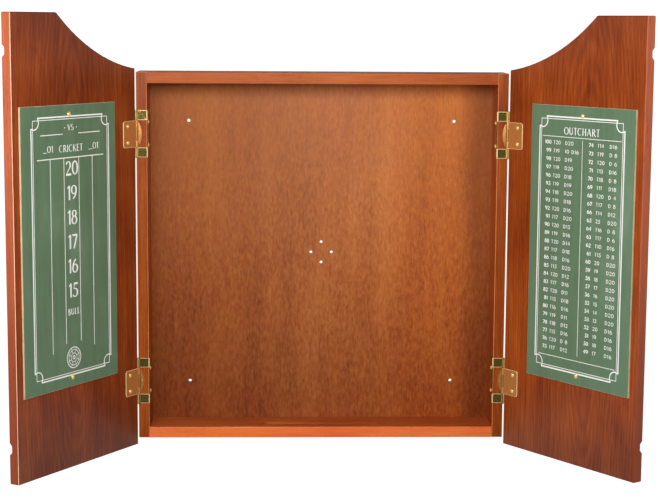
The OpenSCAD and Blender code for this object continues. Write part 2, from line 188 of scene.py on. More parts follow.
class Bench:
    """The node tree of one material, with short ways to add what the finishes need."""

    def __init__(self, name: str) -> None:
        """Start a material that holds only its shader and its output."""
        self.material = bpy.data.materials.new(name)
        self.material.use_nodes = True
        self.tree = self.material.node_tree
        self.tree.nodes.clear()

    def add(
        self,
        kind: str,
        settings: dict[str, object] | None = None,
        sockets: dict[int | str, object] | None = None,
        output: int | str = 0,
    ) -> Tap:
        """Add one node: its settings first, then its sockets.

        Args:
            kind: The node's type.
            settings: Properties of the node; "stops" fills a colour ramp.
            sockets: Values or taps for its inputs, by index or name.
            output: The output that is wanted.

        Returns:
            That output.
        """
        node = self.tree.nodes.new(kind)
        for key, value in (settings or {}).items():
            if key == "stops":
                self._fill_ramp(node.color_ramp, value)
            else:
                setattr(node, key, value)
        for key, value in (sockets or {}).items():
            if isinstance(value, Tap):
                self.tree.links.new(value.socket, node.inputs[key])
            else:
                node.inputs[key].default_value = value
        return Tap(self, node.outputs[output]) if node.outputs else None

    @staticmethod
    def _fill_ramp(ramp: bpy.types.ColorRamp, stops: Sequence[tuple[float, Colour]]) -> None:
        """Give a colour ramp its stops, from the left."""
        while len(ramp.elements) < len(stops):
            ramp.elements.new(1.0)
        for element, (position, colour) in zip(ramp.elements, stops):
            element.position = position
            element.color = colour

    def point(self, centre: Sequence[float] = (0, 0, 0), turn: float = 0.0) -> Tap:
        """Give the object point, measured from a centre and turned back about Z.

        Args:
            centre: The new zero, in metres.
            turn: Angle about Z that the piece stands turned by, in radians.

        Returns:
            The point's vector.
        """
        here = self.add("ShaderNodeTexCoord", output="Object")
        return self.add(
            "ShaderNodeMapping",
            {"vector_type": "TEXTURE"},
            {"Vector": here, "Location": tuple(centre), "Rotation": (0.0, 0.0, turn)},
        )

    def stretched(self, vector: Tap, scale: Sequence[float]) -> Tap:
        """Multiply a vector part by part."""
        return self.add(
            "ShaderNodeVectorMath", {"operation": "MULTIPLY"}, {0: vector, 1: tuple(scale)}
        )

    def moved(self, vector: Tap, shift: Sequence[float]) -> Tap:
        """Add a fixed vector."""
        return self.add("ShaderNodeVectorMath", {"operation": "ADD"}, {0: vector, 1: tuple(shift)})

    def length(self, vector: Tap) -> Tap:
        """Length of a vector."""
        return self.add("ShaderNodeVectorMath", {"operation": "LENGTH"}, {0: vector}, output=1)

    def parts(self, vector: Tap) -> tuple[Tap, Tap, Tap]:
        """The three parts of a vector."""
        split = self.tree.nodes.new("ShaderNodeSeparateXYZ")
        self.tree.links.new(vector.socket, split.inputs[0])
        return tuple(Tap(self, socket) for socket in split.outputs)

    def noise(self, vector: Tap, scale: float = 1.0, detail: float = 2.0, rough: float = 0.5) -> Tap:
        """Soft noise from 0 to 1 about 0.5.

        Args:
            vector: Where the noise is read.
            scale: How many waves there are to a unit.
            detail: Number of finer layers.
            rough: Strength of each finer layer.

        Returns:
            The noise.
        """
        return self.add(
            "ShaderNodeTexNoise",
            {"noise_dimensions": "3D"},
            {"Vector": vector, "Scale": scale, "Detail": detail, "Roughness": rough},
        )

    def mix(self, share: Tap | float, first: Tap | Colour, second: Tap | Colour, way: str = "MIX") -> Tap:
        """Blend two colours.

        Args:
            share: How much of the second colour shows.
            first: The colour at 0.
            second: The colour at 1.
            way: The blend type.

        Returns:
            The blended colour.
        """
        settings = {"data_type": "RGBA", "blend_type": way}
        return self.add("ShaderNodeMix", settings, {0: share, 6: first, 7: second}, output=2)

    def ramp(self, value: Tap, stops: Sequence[tuple[float, Colour]]) -> Tap:
        """Colour from a value by stops."""
        return self.add("ShaderNodeValToRGB", {"stops": stops}, {0: value})

    def bump(self, height: Tap, distance: float, strength: float = 1.0) -> Tap:
        """Normal from a height of 0 to 1 that stands for a distance in metres."""
        return self.add(
            "ShaderNodeBump", None, {"Height": height, "Distance": distance, "Strength": strength}
        )

    def shade(self, sockets: dict[str, object]) -> bpy.types.Material:
        """Finish the material with one principled shader.

        Args:
            sockets: Values or taps for the shader's inputs.

        Returns:
            The material.
        """
        shader = self.add("ShaderNodeBsdfPrincipled", None, sockets)
        self.add("ShaderNodeOutputMaterial", None, {"Surface": shader})
        return self.material


# ---------------------------------------------------------------- finishes


class Grain(Enum):
    """Which way a board's grain runs; the value is the axis number."""

    LEVEL = 0
    UPRIGHT = 2

    def scale(self, across: float, along: float) -> Triple:
        """Waves to the metre across and along the grain, as a vector."""
        waves = [across] * 3
        waves[self.value] = along
        return tuple(waves)


@dataclass(frozen=True)
class StainedWood:
    """A stained and lacquered board with streaks, rings, pores and a satin coat.

    Attributes:
        name: Material name.
        grain: Which way the grain runs.
        tones: Colours of the darkest streaks, of most of the board and of the lightest streaks.
        heart: Middle of the rings, in metres from the centre.
        centre: Zero of the pattern.
        turn: Angle about Z that the board stands turned by.
        figure: Strength of the rings.
        gloss: Roughness of the lacquer.
        contrast: Strength of all the streaks.
        coat: Weight of the lacquer.
        ends_z: Heights of the board's lower and upper ends, towards which the colour is darkened as painted
            shade.
        ends_run: How far that painted shade reaches up from the lower end.
        ends_dark: Strength of that painted shade.
        ends_tint: Its colour.
    """

    name: str
    grain: Grain
    tones: Tones
    heart: Triple = (0.0, 0.0, 0.0)
    centre: Triple = (0.0, 0.0, 0.0)
    turn: float = 0.0
    figure: float = 0.05
    gloss: float = 0.36
    contrast: float = 1.0
    coat: float = 0.12
    ends_z: Point2 | None = None
    ends_run: float = 0.11
    ends_dark: float = 0.35
    ends_tint: Colour = (0.55, 0.58, 0.7, 1.0)

    def make(self) -> bpy.types.Material:
        """Build the material.

        Returns:
            The finished wood.
        """
        bench = Bench(self.name)
        point = bench.point(self.centre, self.turn)
        tone, fibres, pores = self._tone(bench, point)
        colour = bench.ramp(tone, list(zip((0.24, 0.5, 0.78), self.tones)))
        colour = bench.mix(pores * 0.55, colour, self._pore_colour())
        # Painted shade: the colour darkens towards the lower and upper ends, in the shade tint.
        if self.ends_z:
            height = bench.parts(point)[2]
            low, high = self.ends_z
            wander = bench.noise(point, 14.0) * 0.05
            foot_shade = 1.0 - (height + wander).over(low, low + self.ends_run)
            ends = height.over(high - 0.085, high) * 0.5 + foot_shade
            colour = bench.mix(ends * self.ends_dark, colour, self.ends_tint, "MULTIPLY")
        smear = bench.noise(point, 9.0, 3.0, 0.6)
        rough = self.gloss + (smear - 0.5) * 0.16 + pores * 0.12
        relief = fibres * 0.6 + (1.0 - pores) * 0.4
        return bench.shade(
            {
                "Base Color": colour,
                "Roughness": rough,
                "Normal": bench.bump(relief, 0.00012, 0.55),
                "Coat Weight": self.coat,
                "Coat Roughness": 0.2,
                "Specular IOR Level": 0.22,
            }
        )

    def _tone(self, bench: Bench, point: Tap) -> tuple[Tap, Tap, Tap]:
        """Work out how light the stain lies, the fibres and the open pores.

        Args:
            bench: The material's bench.
            point: Where on the board.

        Returns:
            Tone, fibres and pores, each about 0 to 1.
        """
        grain = self.grain
        wander = bench.noise(bench.stretched(point, grain.scale(9.0, 1.4)), 1.0, 3.0)
        bands = bench.noise(bench.stretched(point, grain.scale(42.0, 1.5)), 1.0, 3.0, 0.55)
        streaks = bench.noise(bench.stretched(point, grain.scale(170.0, 4.0)), 1.0, 3.0, 0.6)
        fibres = bench.noise(bench.stretched(point, grain.scale(820.0, 20.0)), 1.0, 2.0, 0.6)
        blotch = bench.noise(bench.stretched(point, grain.scale(13.0, 6.0)), 1.0, 3.0, 0.6)
        dashes = bench.noise(bench.stretched(point, grain.scale(1500.0, 75.0)), 1.0, 1.0)
        open_wood = bench.noise(bench.stretched(point, grain.scale(60.0, 9.0)), 1.0, 1.0)
        pores = dashes.over(0.60, 0.70) * open_wood.over(0.38, 0.62)
        away = bench.moved(point, [-part for part in self.heart])
        rings = bench.length(bench.stretched(away, grain.scale(1.0, 0.15))) + wander * 0.03
        arches = (rings * 1150.0).sine() * (0.2 + 0.8 * open_wood)
        tone = (
            0.5
            + (bands - 0.5) * (0.25 * self.contrast)
            + (streaks - 0.5) * (0.4 * self.contrast)
            + (fibres - 0.5) * (0.65 * self.contrast)
            + (blotch - 0.5) * (0.7 * self.contrast)
            + arches * self.figure
        )
        return tone, fibres, pores

    def _pore_colour(self) -> Colour:
        """Stain caught in the pores."""
        red, green, blue, alpha = self.tones[0]
        return (red * 0.35, green * 0.3, blue * 0.3, alpha)


@dataclass(frozen=True)
class PanelVeneer:
    """The back panel's plywood veneer: short fibres, wide soft leaves and dark outer bands that are partly
    painted shadow, with painted shade low down and on the left and a painted sheen near the top.

    Attributes:
        name: Material name.
        tones: Colours of the dark bands, of most of the veneer and of the lightest leaves.
        haze: Pale, desaturated colour of a painted sheen near the top.
        left_band: X of the inner edge of the dark band on the left, partly veneer and partly painted
            shadow.
        right_band: X of the inner edge of the dark band on the right, partly veneer and partly painted
            shadow.
        band_tint: Tint of the dark bands, partly veneer and partly painted shadow.
        foot_tint: Tint of the painted shade over the lower part.
        west_tint: Tint of the painted shade over the left half.
        flank_tint: Tint of both sides, where the stain is redder.
    """

    name: str
    tones: Tones
    haze: Colour
    left_band: float = -0.214
    right_band: float = 0.226
    band_tint: Colour = (0.42, 0.36, 0.27, 1.0)
    foot_tint: Colour = (0.6, 0.48, 0.36, 1.0)
    west_tint: Colour = (0.55, 0.56, 0.58, 1.0)
    flank_tint: Colour = (1.16, 1.0, 0.55, 1.0)

    def make(self) -> bpy.types.Material:
        """Build the material.

        Returns:
            The finished veneer.
        """
        bench = Bench(self.name)
        point = bench.point()
        across, _, height = bench.parts(point)
        leaves = bench.noise(bench.stretched(point, (15.0, 15.0, 1.6)), 1.0, 3.0, 0.5)
        flames = bench.noise(bench.stretched(point, (34.0, 34.0, 5.0)), 1.0, 3.0, 0.6)
        fibres = bench.noise(bench.stretched(point, (900.0, 900.0, 60.0)), 1.0, 2.0, 0.7)
        mottle = bench.noise(bench.stretched(point, (260.0, 260.0, 110.0)), 1.0, 2.0, 0.6)
        dashes = bench.noise(bench.stretched(point, (1300.0, 1300.0, 120.0)), 1.0, 1.0)
        pores = dashes.over(0.60, 0.72)
        tone = (
            0.52
            + (leaves - 0.5) * 0.6
            + (flames - 0.5) * 0.35
            + (fibres - 0.5) * 0.5
            + (mottle - 0.5) * 0.7
        )
        colour = bench.ramp(tone, list(zip((0.2, 0.5, 0.82), self.tones)))
        drift = (bench.noise(bench.stretched(point, (5.0, 5.0, 2.2)), 1.0, 2.0) - 0.5) * 0.05
        left = 1.0 - (across + drift).over(self.left_band - 0.03, self.left_band + 0.02)
        right = (across + drift).over(self.right_band - 0.02, self.right_band + 0.022)
        # Painted sheen: a pale, desaturated haze near the top. Painted shade: a darker lower part and left
        # half.
        top_sheen = (height + drift).over(-0.12, 0.27)
        foot_shade = 1.0 - (height + drift).over(-0.27, 0.12)
        west_shade = 1.0 - (across + drift).over(-0.2, 0.06)
        colour = bench.mix(top_sheen * 0.45, colour, self.haze)
        colour = bench.mix(foot_shade * 0.75, colour, self.foot_tint, "MULTIPLY")
        colour = bench.mix(west_shade * 0.65, colour, self.west_tint, "MULTIPLY")
        # Dark outer bands: partly veneer, partly painted shadow from the sides, the right one far the
        # stronger.
        colour = bench.mix(left * 0.1 + right * 0.75, colour, self.band_tint, "MULTIPLY")
        flank = across.size().over(0.04, 0.19)
        colour = bench.mix(flank * 0.9, colour, self.flank_tint, "MULTIPLY")
        colour = bench.mix(pores * 0.35, colour, self.tones[0])
        rough = 0.5 + (mottle - 0.5) * 0.3 + top_sheen * 0.1
        return bench.shade(
            {
                "Base Color": colour,
                "Roughness": rough,
                "Normal": bench.bump(fibres * 0.7 + mottle * 0.3, 0.00012, 0.5),
                "Specular IOR Level": 0.3,
            }
        )


@dataclass(frozen=True)
class BoardPaint:
    """Score-board paint: an even green with faint roller marks and chalk dust.

    Attributes:
        name: Material name.
        colour: Main colour.
        side: Which board, whose pattern turns with its door.
    """

    name: str
    colour: Colour
    side: Side

    def make(self) -> bpy.types.Material:
        """Build the material.

        Returns:
            The finished paint.
        """
        bench = Bench(self.name)
        point = bench.point(self.side.pin, self.side.angle)
        roller = bench.noise(bench.stretched(point, (120.0, 120.0, 9.0)), 1.0, 2.0, 0.5)
        cloud = bench.noise(bench.stretched(point, (11.0, 11.0, 7.0)), 1.0, 4.0, 0.6)
        speck = bench.noise(point, 900.0, 2.0, 0.7)
        dust = cloud.over(0.52, 0.8) * 0.16
        red, green, blue, alpha = self.colour
        darker = (red * 0.82, green * 0.84, blue * 0.84, alpha)
        lighter = (red * 1.14, green * 1.12, blue * 1.14, alpha)
        tone = 0.5 + (roller - 0.5) * 0.5 + (cloud - 0.5) * 0.7 + (speck - 0.5) * 0.35
        colour = bench.ramp(tone, [(0.25, darker), (0.5, self.colour), (0.75, lighter)])
        colour = bench.mix(dust, colour, chart(178, 190, 172))
        rough = 0.5 + (speck - 0.5) * 0.2 + dust * 0.8
        return bench.shade(
            {
                "Base Color": colour,
                "Roughness": rough,
                "Normal": bench.bump(speck, 0.00005, 0.4),
                "Specular IOR Level": 0.4,
            }
        )


@dataclass(frozen=True)
class RawCore:
    """Bare brown board seen at a cut edge, with pressed fibres.

    Attributes:
        name: Material name.
        colour: Main colour.
    """

    name: str
    colour: Colour

    def make(self) -> bpy.types.Material:
        """Build the material."""
        bench = Bench(self.name)
        point = bench.point()
        fluff = bench.noise(point, 1400.0, 3.0, 0.7)
        cloud = bench.noise(point, 60.0, 2.0, 0.5)
        red, green, blue, alpha = self.colour
        darker = (red * 0.55, green * 0.5, blue * 0.45, alpha)
        tone = 0.5 + (fluff - 0.5) * 0.9 + (cloud - 0.5) * 0.5
        colour = bench.ramp(tone, [(0.2, darker), (0.6, self.colour)])
        return bench.shade(
            {
                "Base Color": colour,
                "Roughness": 0.75 + (fluff - 0.5) * 0.2,
                "Normal": bench.bump(fluff, 0.0001, 0.5),
            }
        )


@dataclass(frozen=True)
class PrintInk:
    """Screen-printed white ink, slightly thin in places.

    Attributes:
        name: Material name.
        colour: Main colour.
        worn: Colour where it is thin.
    """

    name: str
    colour: Colour
    worn: Colour

    def make(self) -> bpy.types.Material:
        """Build the material."""
        bench = Bench(self.name)
        point = bench.point()
        screen = bench.noise(point, 1100.0, 2.0, 0.6)
        cloud = bench.noise(point, 45.0, 3.0, 0.6)
        thin = (screen * 0.5 + cloud * 0.5).over(0.5, 0.72)
        colour = bench.mix(thin * 0.2, self.colour, self.worn)
        return bench.shade(
            {
                "Base Color": colour,
                "Roughness": 0.5 + (cloud - 0.5) * 0.25,
                "Normal": bench.bump(screen, 0.00003, 0.4),
            }
        )


@dataclass(frozen=True)
class Brass:
    """Plated brass with fine rolling marks and a little tarnish.

    Attributes:
        name: Material name.
        colour: Clean metal.
        tarnish: Colour of the dull spots.
        rough: Roughness of the clean metal.
        brushed: Waves to the metre of the rolling marks, along X, Y and Z.
        metal: Share of bare metal; the rest is milky lacquer, which on the hinge rims and screw heads makes
            a painted highlight.
    """

    name: str
    colour: Colour
    tarnish: Colour
    rough: float = 0.26
    brushed: Triple = (900.0, 900.0, 60.0)
    metal: float = 1.0

    def make(self) -> bpy.types.Material:
        """Build the material.

        Returns:
            The finished metal.
        """
        bench = Bench(self.name)
        point = bench.point()
        marks = bench.noise(bench.stretched(point, self.brushed), 1.0, 2.0, 0.6)
        spots = bench.noise(point, 190.0, 3.0, 0.65)
        dull = spots.over(0.5, 0.8)
        colour = bench.mix(dull * 0.6, self.colour, self.tarnish)
        rough = self.rough + (marks - 0.5) * 0.16 + dull * 0.14
        return bench.shade(
            {
                "Base Color": colour,
                "Metallic": self.metal,
                "Roughness": rough,
                "Normal": bench.bump(marks * 0.7 + spots * 0.3, 0.00004, 0.5),
            }
        )


@dataclass(frozen=True)
class PlainTimber:
    """Unstained hardwood of the dowels.

    Attributes:
        name: Material name.
        colour: Main colour.
    """

    name: str
    colour: Colour

    def make(self) -> bpy.types.Material:
        """Build the material."""
        bench = Bench(self.name)
        point = bench.point()
        fibres = bench.noise(bench.stretched(point, (60.0, 1200.0, 1200.0)), 1.0, 2.0, 0.6)
        red, green, blue, alpha = self.colour
        darker = (red * 0.7, green * 0.62, blue * 0.52, alpha)
        colour = bench.ramp(fibres, [(0.3, darker), (0.65, self.colour)])
        return bench.shade(
            {
                "Base Color": colour,
                "Roughness": 0.6 + (fibres - 0.5) * 0.2,
                "Normal": bench.bump(fibres, 0.0001, 0.4),
            }
        )


@dataclass(frozen=True)
class BrightSteel:
    """Zinc-plated steel of the nails.

    Attributes:
        name: Material name.
        colour: Main colour.
    """

    name: str
    colour: Colour

    def make(self) -> bpy.types.Material:
        """Build the material."""
        bench = Bench(self.name)
        point = bench.point()
        spangle = bench.noise(point, 800.0, 2.0, 0.6)
        red, green, blue, alpha = self.colour
        darker = (red * 0.6, green * 0.6, blue * 0.62, alpha)
        return bench.shade(
            {
                "Base Color": bench.mix(spangle.over(0.4, 0.7), self.colour, darker),
                "Metallic": 1.0,
                "Roughness": 0.34 + (spangle - 0.5) * 0.25,
                "Normal": bench.bump(spangle, 0.00003, 0.4),
            }
        )


@dataclass
class Paintshop:
    """Makes each finish once and hands it out.

    Attributes:
        case_stain: Deep, middle and pale tone of the box.
        door_stain: The same of each door.
        hearts: Where the middle of each door's rings lies, from its pin.
        door_z: Heights of the doors' lower and upper ends.
    """

    case_stain: Tones = (chart(122, 46, 8), chart(158, 71, 15), chart(188, 96, 28))
    door_stain: dict[Side, Tones] = field(
        default_factory=lambda: {
            Side.LEFT: (chart(96, 34, 10), chart(135, 57, 19), chart(168, 82, 32)),
            Side.RIGHT: (chart(106, 38, 8), chart(150, 64, 17), chart(182, 90, 32)),
        }
    )
    hearts: dict[Side, Triple] = field(
        default_factory=lambda: {
            Side.LEFT: (0.15, 0.016, 0.02),
            Side.RIGHT: (-0.17, 0.016, -0.06),
        }
    )
    door_z: Point2 = (-0.287, 0.364)

    def __post_init__(self) -> None:
        """Mix every finish."""
        self._mix_case()
        self._mix_doors()
        self._mix_boards()
        self._mix_brass()
        self.dowel = PlainTimber("dowel_beech", chart(214, 178, 132)).make()
        self.nail = BrightSteel("nail_steel", chart(196, 196, 198)).make()

    def _mix_case(self) -> None:
        """Woods of the box."""

        def plain(name: str, grain: Grain, *tones: Colour, **more: float) -> bpy.types.Material:
            """A wood without rings."""
            return StainedWood(name, grain, tones, figure=0.0, **more).make()

        self.case_upright = StainedWood(
            "case_wood_upright", Grain.UPRIGHT, self.case_stain, heart=(0.31, 0.0, 0.05), coat=0.05
        ).make()
        self.case_level = StainedWood(
            "case_wood_level", Grain.LEVEL, self.case_stain, heart=(0.05, 0.02, 0.3), coat=0.05
        ).make()
        floor_tones = (chart(142, 58, 20), chart(180, 84, 30), chart(206, 110, 48))
        self.case_floor = StainedWood(
            "case_wood_floor", Grain.LEVEL, floor_tones, heart=(0.05, 0.02, -0.3), coat=0.05
        ).make()
        self.fronts = {
            "top": plain(
                "top_board_front_edge", Grain.LEVEL, chart(150, 66, 18), chart(180, 86, 28),
                chart(204, 108, 46), contrast=0.8, coat=0.0,
            ),
            # Partly lighter stain, partly a painted highlight: the bottom board's front edge is made very
            # bright.
            "bottom": plain(
                "bottom_board_front_edge", Grain.LEVEL, chart(222, 94, 42), chart(246, 120, 60),
                chart(255, 146, 84), contrast=0.8,
            ),
        }
        # Painted highlight: a pale wood for the rounded edges of the sides.
        self.case_worn = plain(
            "case_wood_worn_edge", Grain.UPRIGHT, chart(196, 108, 62), chart(222, 138, 88),
            chart(240, 164, 112), contrast=0.7,
        )
        # Painted highlight: a pale wood for a thin line along the left door's free-edge rounding.
        self.door_worn = plain(
            "door_wood_worn_edge", Grain.UPRIGHT, chart(236, 170, 136), chart(250, 200, 170),
            chart(255, 224, 200), contrast=0.6,
        )
        # Dark end grain of the door crowns; also a painted shade line along the top board's upper front
        # rounding.
        self.end_grain = plain(
            "wood_end_grain", Grain.LEVEL, chart(52, 19, 9), chart(80, 31, 14), chart(104, 44, 20),
            gloss=0.6, coat=0.0,
        )
        veneer_tones = (chart(132, 58, 16), chart(180, 96, 38), chart(206, 126, 62))
        # The last colour is the painted sheen near the top.
        self.veneer = PanelVeneer("back_panel_veneer", veneer_tones, chart(188, 118, 74)).make()

    def _mix_doors(self) -> None:
        """Woods of the doors, whose patterns turn with them, and of their free edges."""
        lipping_tones = (chart(164, 70, 40), chart(196, 98, 60), chart(216, 124, 84))
        self.doors: dict[Side, bpy.types.Material] = {}
        self.lipping: dict[Side, bpy.types.Material] = {}
        for side in Side:
            placed = {"centre": tuple(side.pin), "turn": side.angle}
            # Each door darkens towards both ends as painted shade, in a bluish tint of painted reflection.
            self.doors[side] = StainedWood(
                f"door_wood_{side.word}",
                Grain.UPRIGHT,
                self.door_stain[side],
                heart=self.hearts[side],
                figure=0.075,
                gloss=0.34,
                ends_z=self.door_z,
                ends_run=0.17,
                ends_dark=0.75,
                **placed,
            ).make()
            # Painted shade: each free edge darkens from the top down to its foot, as the light falls off.
            self.lipping[side] = StainedWood(
                f"door_lipping_{side.word}",
                Grain.UPRIGHT,
                lipping_tones,
                figure=0.0,
                gloss=0.4,
                contrast=0.6,
                ends_z=(self.door_z[0], 1.0),
                ends_run=0.6,
                ends_dark=0.95,
                ends_tint=(0.55, 0.42, 0.28, 1.0),
                **placed,
            ).make()

    def _mix_boards(self) -> None:
        """Paint, core and print of the score boards."""
        self.paints = {
            side: BoardPaint(f"board_paint_{side.word}", chart(98, 127, 97), side).make()
            for side in Side
        }
        self.core = RawCore("board_core", chart(244, 212, 168)).make()
        self.ink = PrintInk("print_ink", chart(255, 255, 248), chart(220, 228, 212)).make()

    def _mix_brass(self) -> None:
        """Brasses of the hinges and screws, from clean and tarnished colour."""

        def brass(name: str, *mixture: Colour | float, **more: object) -> bpy.types.Material:
            """One brass."""
            return Brass(f"{name}_brass", *mixture, **more).make()

        self.plate = brass("hinge_plate", chart(224, 160, 90), chart(190, 124, 64), 0.34, metal=0.65)
        # The pale, half-metal rim brass paints highlights on the hinge rims, bends and knuckles.
        self.rim = brass("hinge_rim", chart(255, 228, 160), chart(236, 192, 116), 0.26, metal=0.35)
        self.tab = brass("hinge_tab", chart(222, 190, 104), chart(150, 118, 58), 0.16)
        self.spring = brass("spring", chart(190, 130, 68), chart(156, 100, 50), 0.4, metal=0.65)
        # The screw heads are a pale, part-metal brass that stands in for a painted highlight.
        self.screw = brass(
            "screw", chart(255, 224, 148), chart(224, 176, 96), 0.2, brushed=(700.0,) * 3, metal=0.45
        )
        self.pin = brass(
            "pin", chart(190, 142, 76), chart(150, 104, 52), 0.34, brushed=(500.0, 500.0, 900.0)
        )


# ---------------------------------------------------------------- meshes and pieces


def merged_copy(node: str) -> bmesh.types.BMesh:
    """Copy a node's mesh with its doubles merged and its flat faces made whole.

    Args:
        node: Name of the node.

    Returns:
        A closed mesh in the same place.
    """
    mesh = bmesh.new()
    mesh.from_mesh(NODES[node].data)
    bmesh.ops.remove_doubles(mesh, verts=mesh.verts, dist=MERGE)
    bmesh.ops.dissolve_limit(
        mesh,
        angle_limit=math.radians(0.4),
        verts=mesh.verts,
        edges=mesh.edges,
        use_dissolve_boundaries=False,
    )
    return mesh


def ease_edges(
    mesh: bmesh.types.BMesh,
    chosen: Callable[[bmesh.types.BMEdge], bool],
    width: float,
    steps: int = 3,
    finish: int = -1,
) -> None:
    """Round the chosen edges a little.

    Args:
        mesh: Mesh that is changed.
        chosen: Says whether an edge is rounded.
        width: Width that the rounding takes from each face, in metres.
        steps: Number of facets.
        finish: Material index of the rounding, or -1 for that of its neighbours.
    """
    edges = [edge for edge in mesh.edges if len(edge.link_faces) == 2 and chosen(edge)]
    made = bmesh.ops.bevel(
        mesh,
        geom=edges,
        offset=width,
        offset_type="OFFSET",
        segments=steps,
        profile=0.5,
        affect="EDGES",
        clamp_overlap=False,
        material=-1,
    )
    if finish >= 0:
        for face in made["faces"]:
            face.material_index = finish


def square_edge(edge: bmesh.types.BMEdge, shortest: float) -> bool:
    """Say whether an edge is a long outward one of about 90 degrees."""
    if edge.calc_length() < shortest or not edge.is_convex:
        return False
    return abs(edge.calc_face_angle(0.0) - math.pi / 2) < 0.2


@dataclass
class Piece:
    """One shown object, made from a finished mesh.

    Attributes:
        name: Name of the object.
        body: Body that it rides on.
        slot: Material slot of the record.
        materials: Finishes, by material index.
        replaces: Nodes that it stands for.
        smooth: Largest angle that is shaded smooth, in degrees.
    """

    name: str
    body: str
    # slot: Material slot of the record; not used.
    slot: str
    materials: Sequence[bpy.types.Material]
    replaces: Sequence[str] = ()
    smooth: float = 34.0

    def show(self, mesh: bmesh.types.BMesh, weighted: bool = True) -> bpy.types.Object:
        """Turn the mesh into the object and tie it to its body.

        Args:
            mesh: The finished shape, in place; it is freed.
            weighted: Whether wide faces keep their own normals.

        Returns:
            The object.
        """
        limit = math.radians(self.smooth)
        for face in mesh.faces:
            face.smooth = True
        for edge in mesh.edges:
            edge.smooth = len(edge.link_faces) == 2 and edge.calc_face_angle(0.0) < limit
        data = bpy.data.meshes.new(self.name)
        mesh.to_mesh(data)
        mesh.free()
        for material in self.materials:
            data.materials.append(material)
        piece = bpy.data.objects.new(self.name, data)
        bpy.context.scene.collection.objects.link(piece)
        if weighted:
            modifier = piece.modifiers.new("even_faces", "WEIGHTED_NORMAL")
            modifier.keep_sharp = True
        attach(piece, self.body)
        if self.replaces:
            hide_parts(*self.replaces)
        LOG.info("%s: %d faces on %s", self.name, len(data.polygons), self.body)
        return piece


# ---------------------------------------------------------------- box


@dataclass
class Carcass:
    """The box: two sides, top and bottom boards, back panel, dowels and nails.

    Attributes:
        shop: The finishes.
        ease: Rounding of the boards' long edges.
        panel_ease: Rounding of the back panel's edges.
        shortest: Edges shorter than this are left alone.
    """

    shop: Paintshop
    ease: float = 0.8 * MM
    panel_ease: float = 0.3 * MM
    shortest: float = 12.0 * MM

    def build(self) -> None:
        """Make every piece of the box."""
        for side in Side:
            self._side(side)
        for level in ("top", "bottom"):
            self._shelf(level)
        panel = merged_copy("back_panel")
        ease_edges(panel, lambda edge: square_edge(edge, self.shortest), self.panel_ease, 2)
        self._piece("back_panel", "back_panel_wood", [self.shop.veneer]).show(panel)
        self._dress("corner_dowels", self.shop.dowel)
        self._dress("panel_nails", self.shop.nail)

    def _side(self, side: Side) -> None:
        """Upright board, its rounded edges painted pale as a painted highlight."""
        node = f"side_{side.word}"
        board = merged_copy(node)
        ease_edges(board, lambda edge: square_edge(edge, self.shortest), self.ease, finish=1)
        self._piece(node, "case_wood", [self.shop.case_upright, self.shop.case_worn]).show(board)

    def _shelf(self, level: str) -> None:
        """Level board: its front edge took less stain, the bottom one's so pale that it is partly a painted
        highlight; the top one's upper front rounding is painted dark as painted shade.
        """
        node = f"{level}_board"
        board = merged_copy(node)
        ease_edges(board, lambda edge: square_edge(edge, self.shortest), self.ease)
        board.normal_update()
        front = min(vert.co.y for vert in board.verts) + self.shortest
        for face in board.faces:
            if face.normal.y < -0.8 and face.calc_center_median().y < front:
                face.material_index = 1
            # Painted shade: the top board's upper front rounding takes the dark wood.
            elif face.normal.z > 0.3 and face.normal.y < -0.05 and level == "top":
                face.material_index = 2
        faces = {"top": self.shop.case_level, "bottom": self.shop.case_floor}
        woods = [faces[level], self.shop.fronts[level], self.shop.end_grain]
        self._piece(node, "case_wood", woods).show(board)

    @staticmethod
    def _piece(node: str, slot: str, materials: Sequence[bpy.types.Material]) -> Piece:
        """Say how one wooden piece of the box is shown."""
        return Piece(f"{node}_wood", "case", slot, materials, [node])

    @staticmethod
    def _dress(node: str, material: bpy.types.Material) -> None:
        """Give a kept node its finish."""
        data = NODES[node].data
        data.materials.clear()
        data.materials.append(material)
        LOG.info("%s: dressed", node)


# ---------------------------------------------------------------- hinges


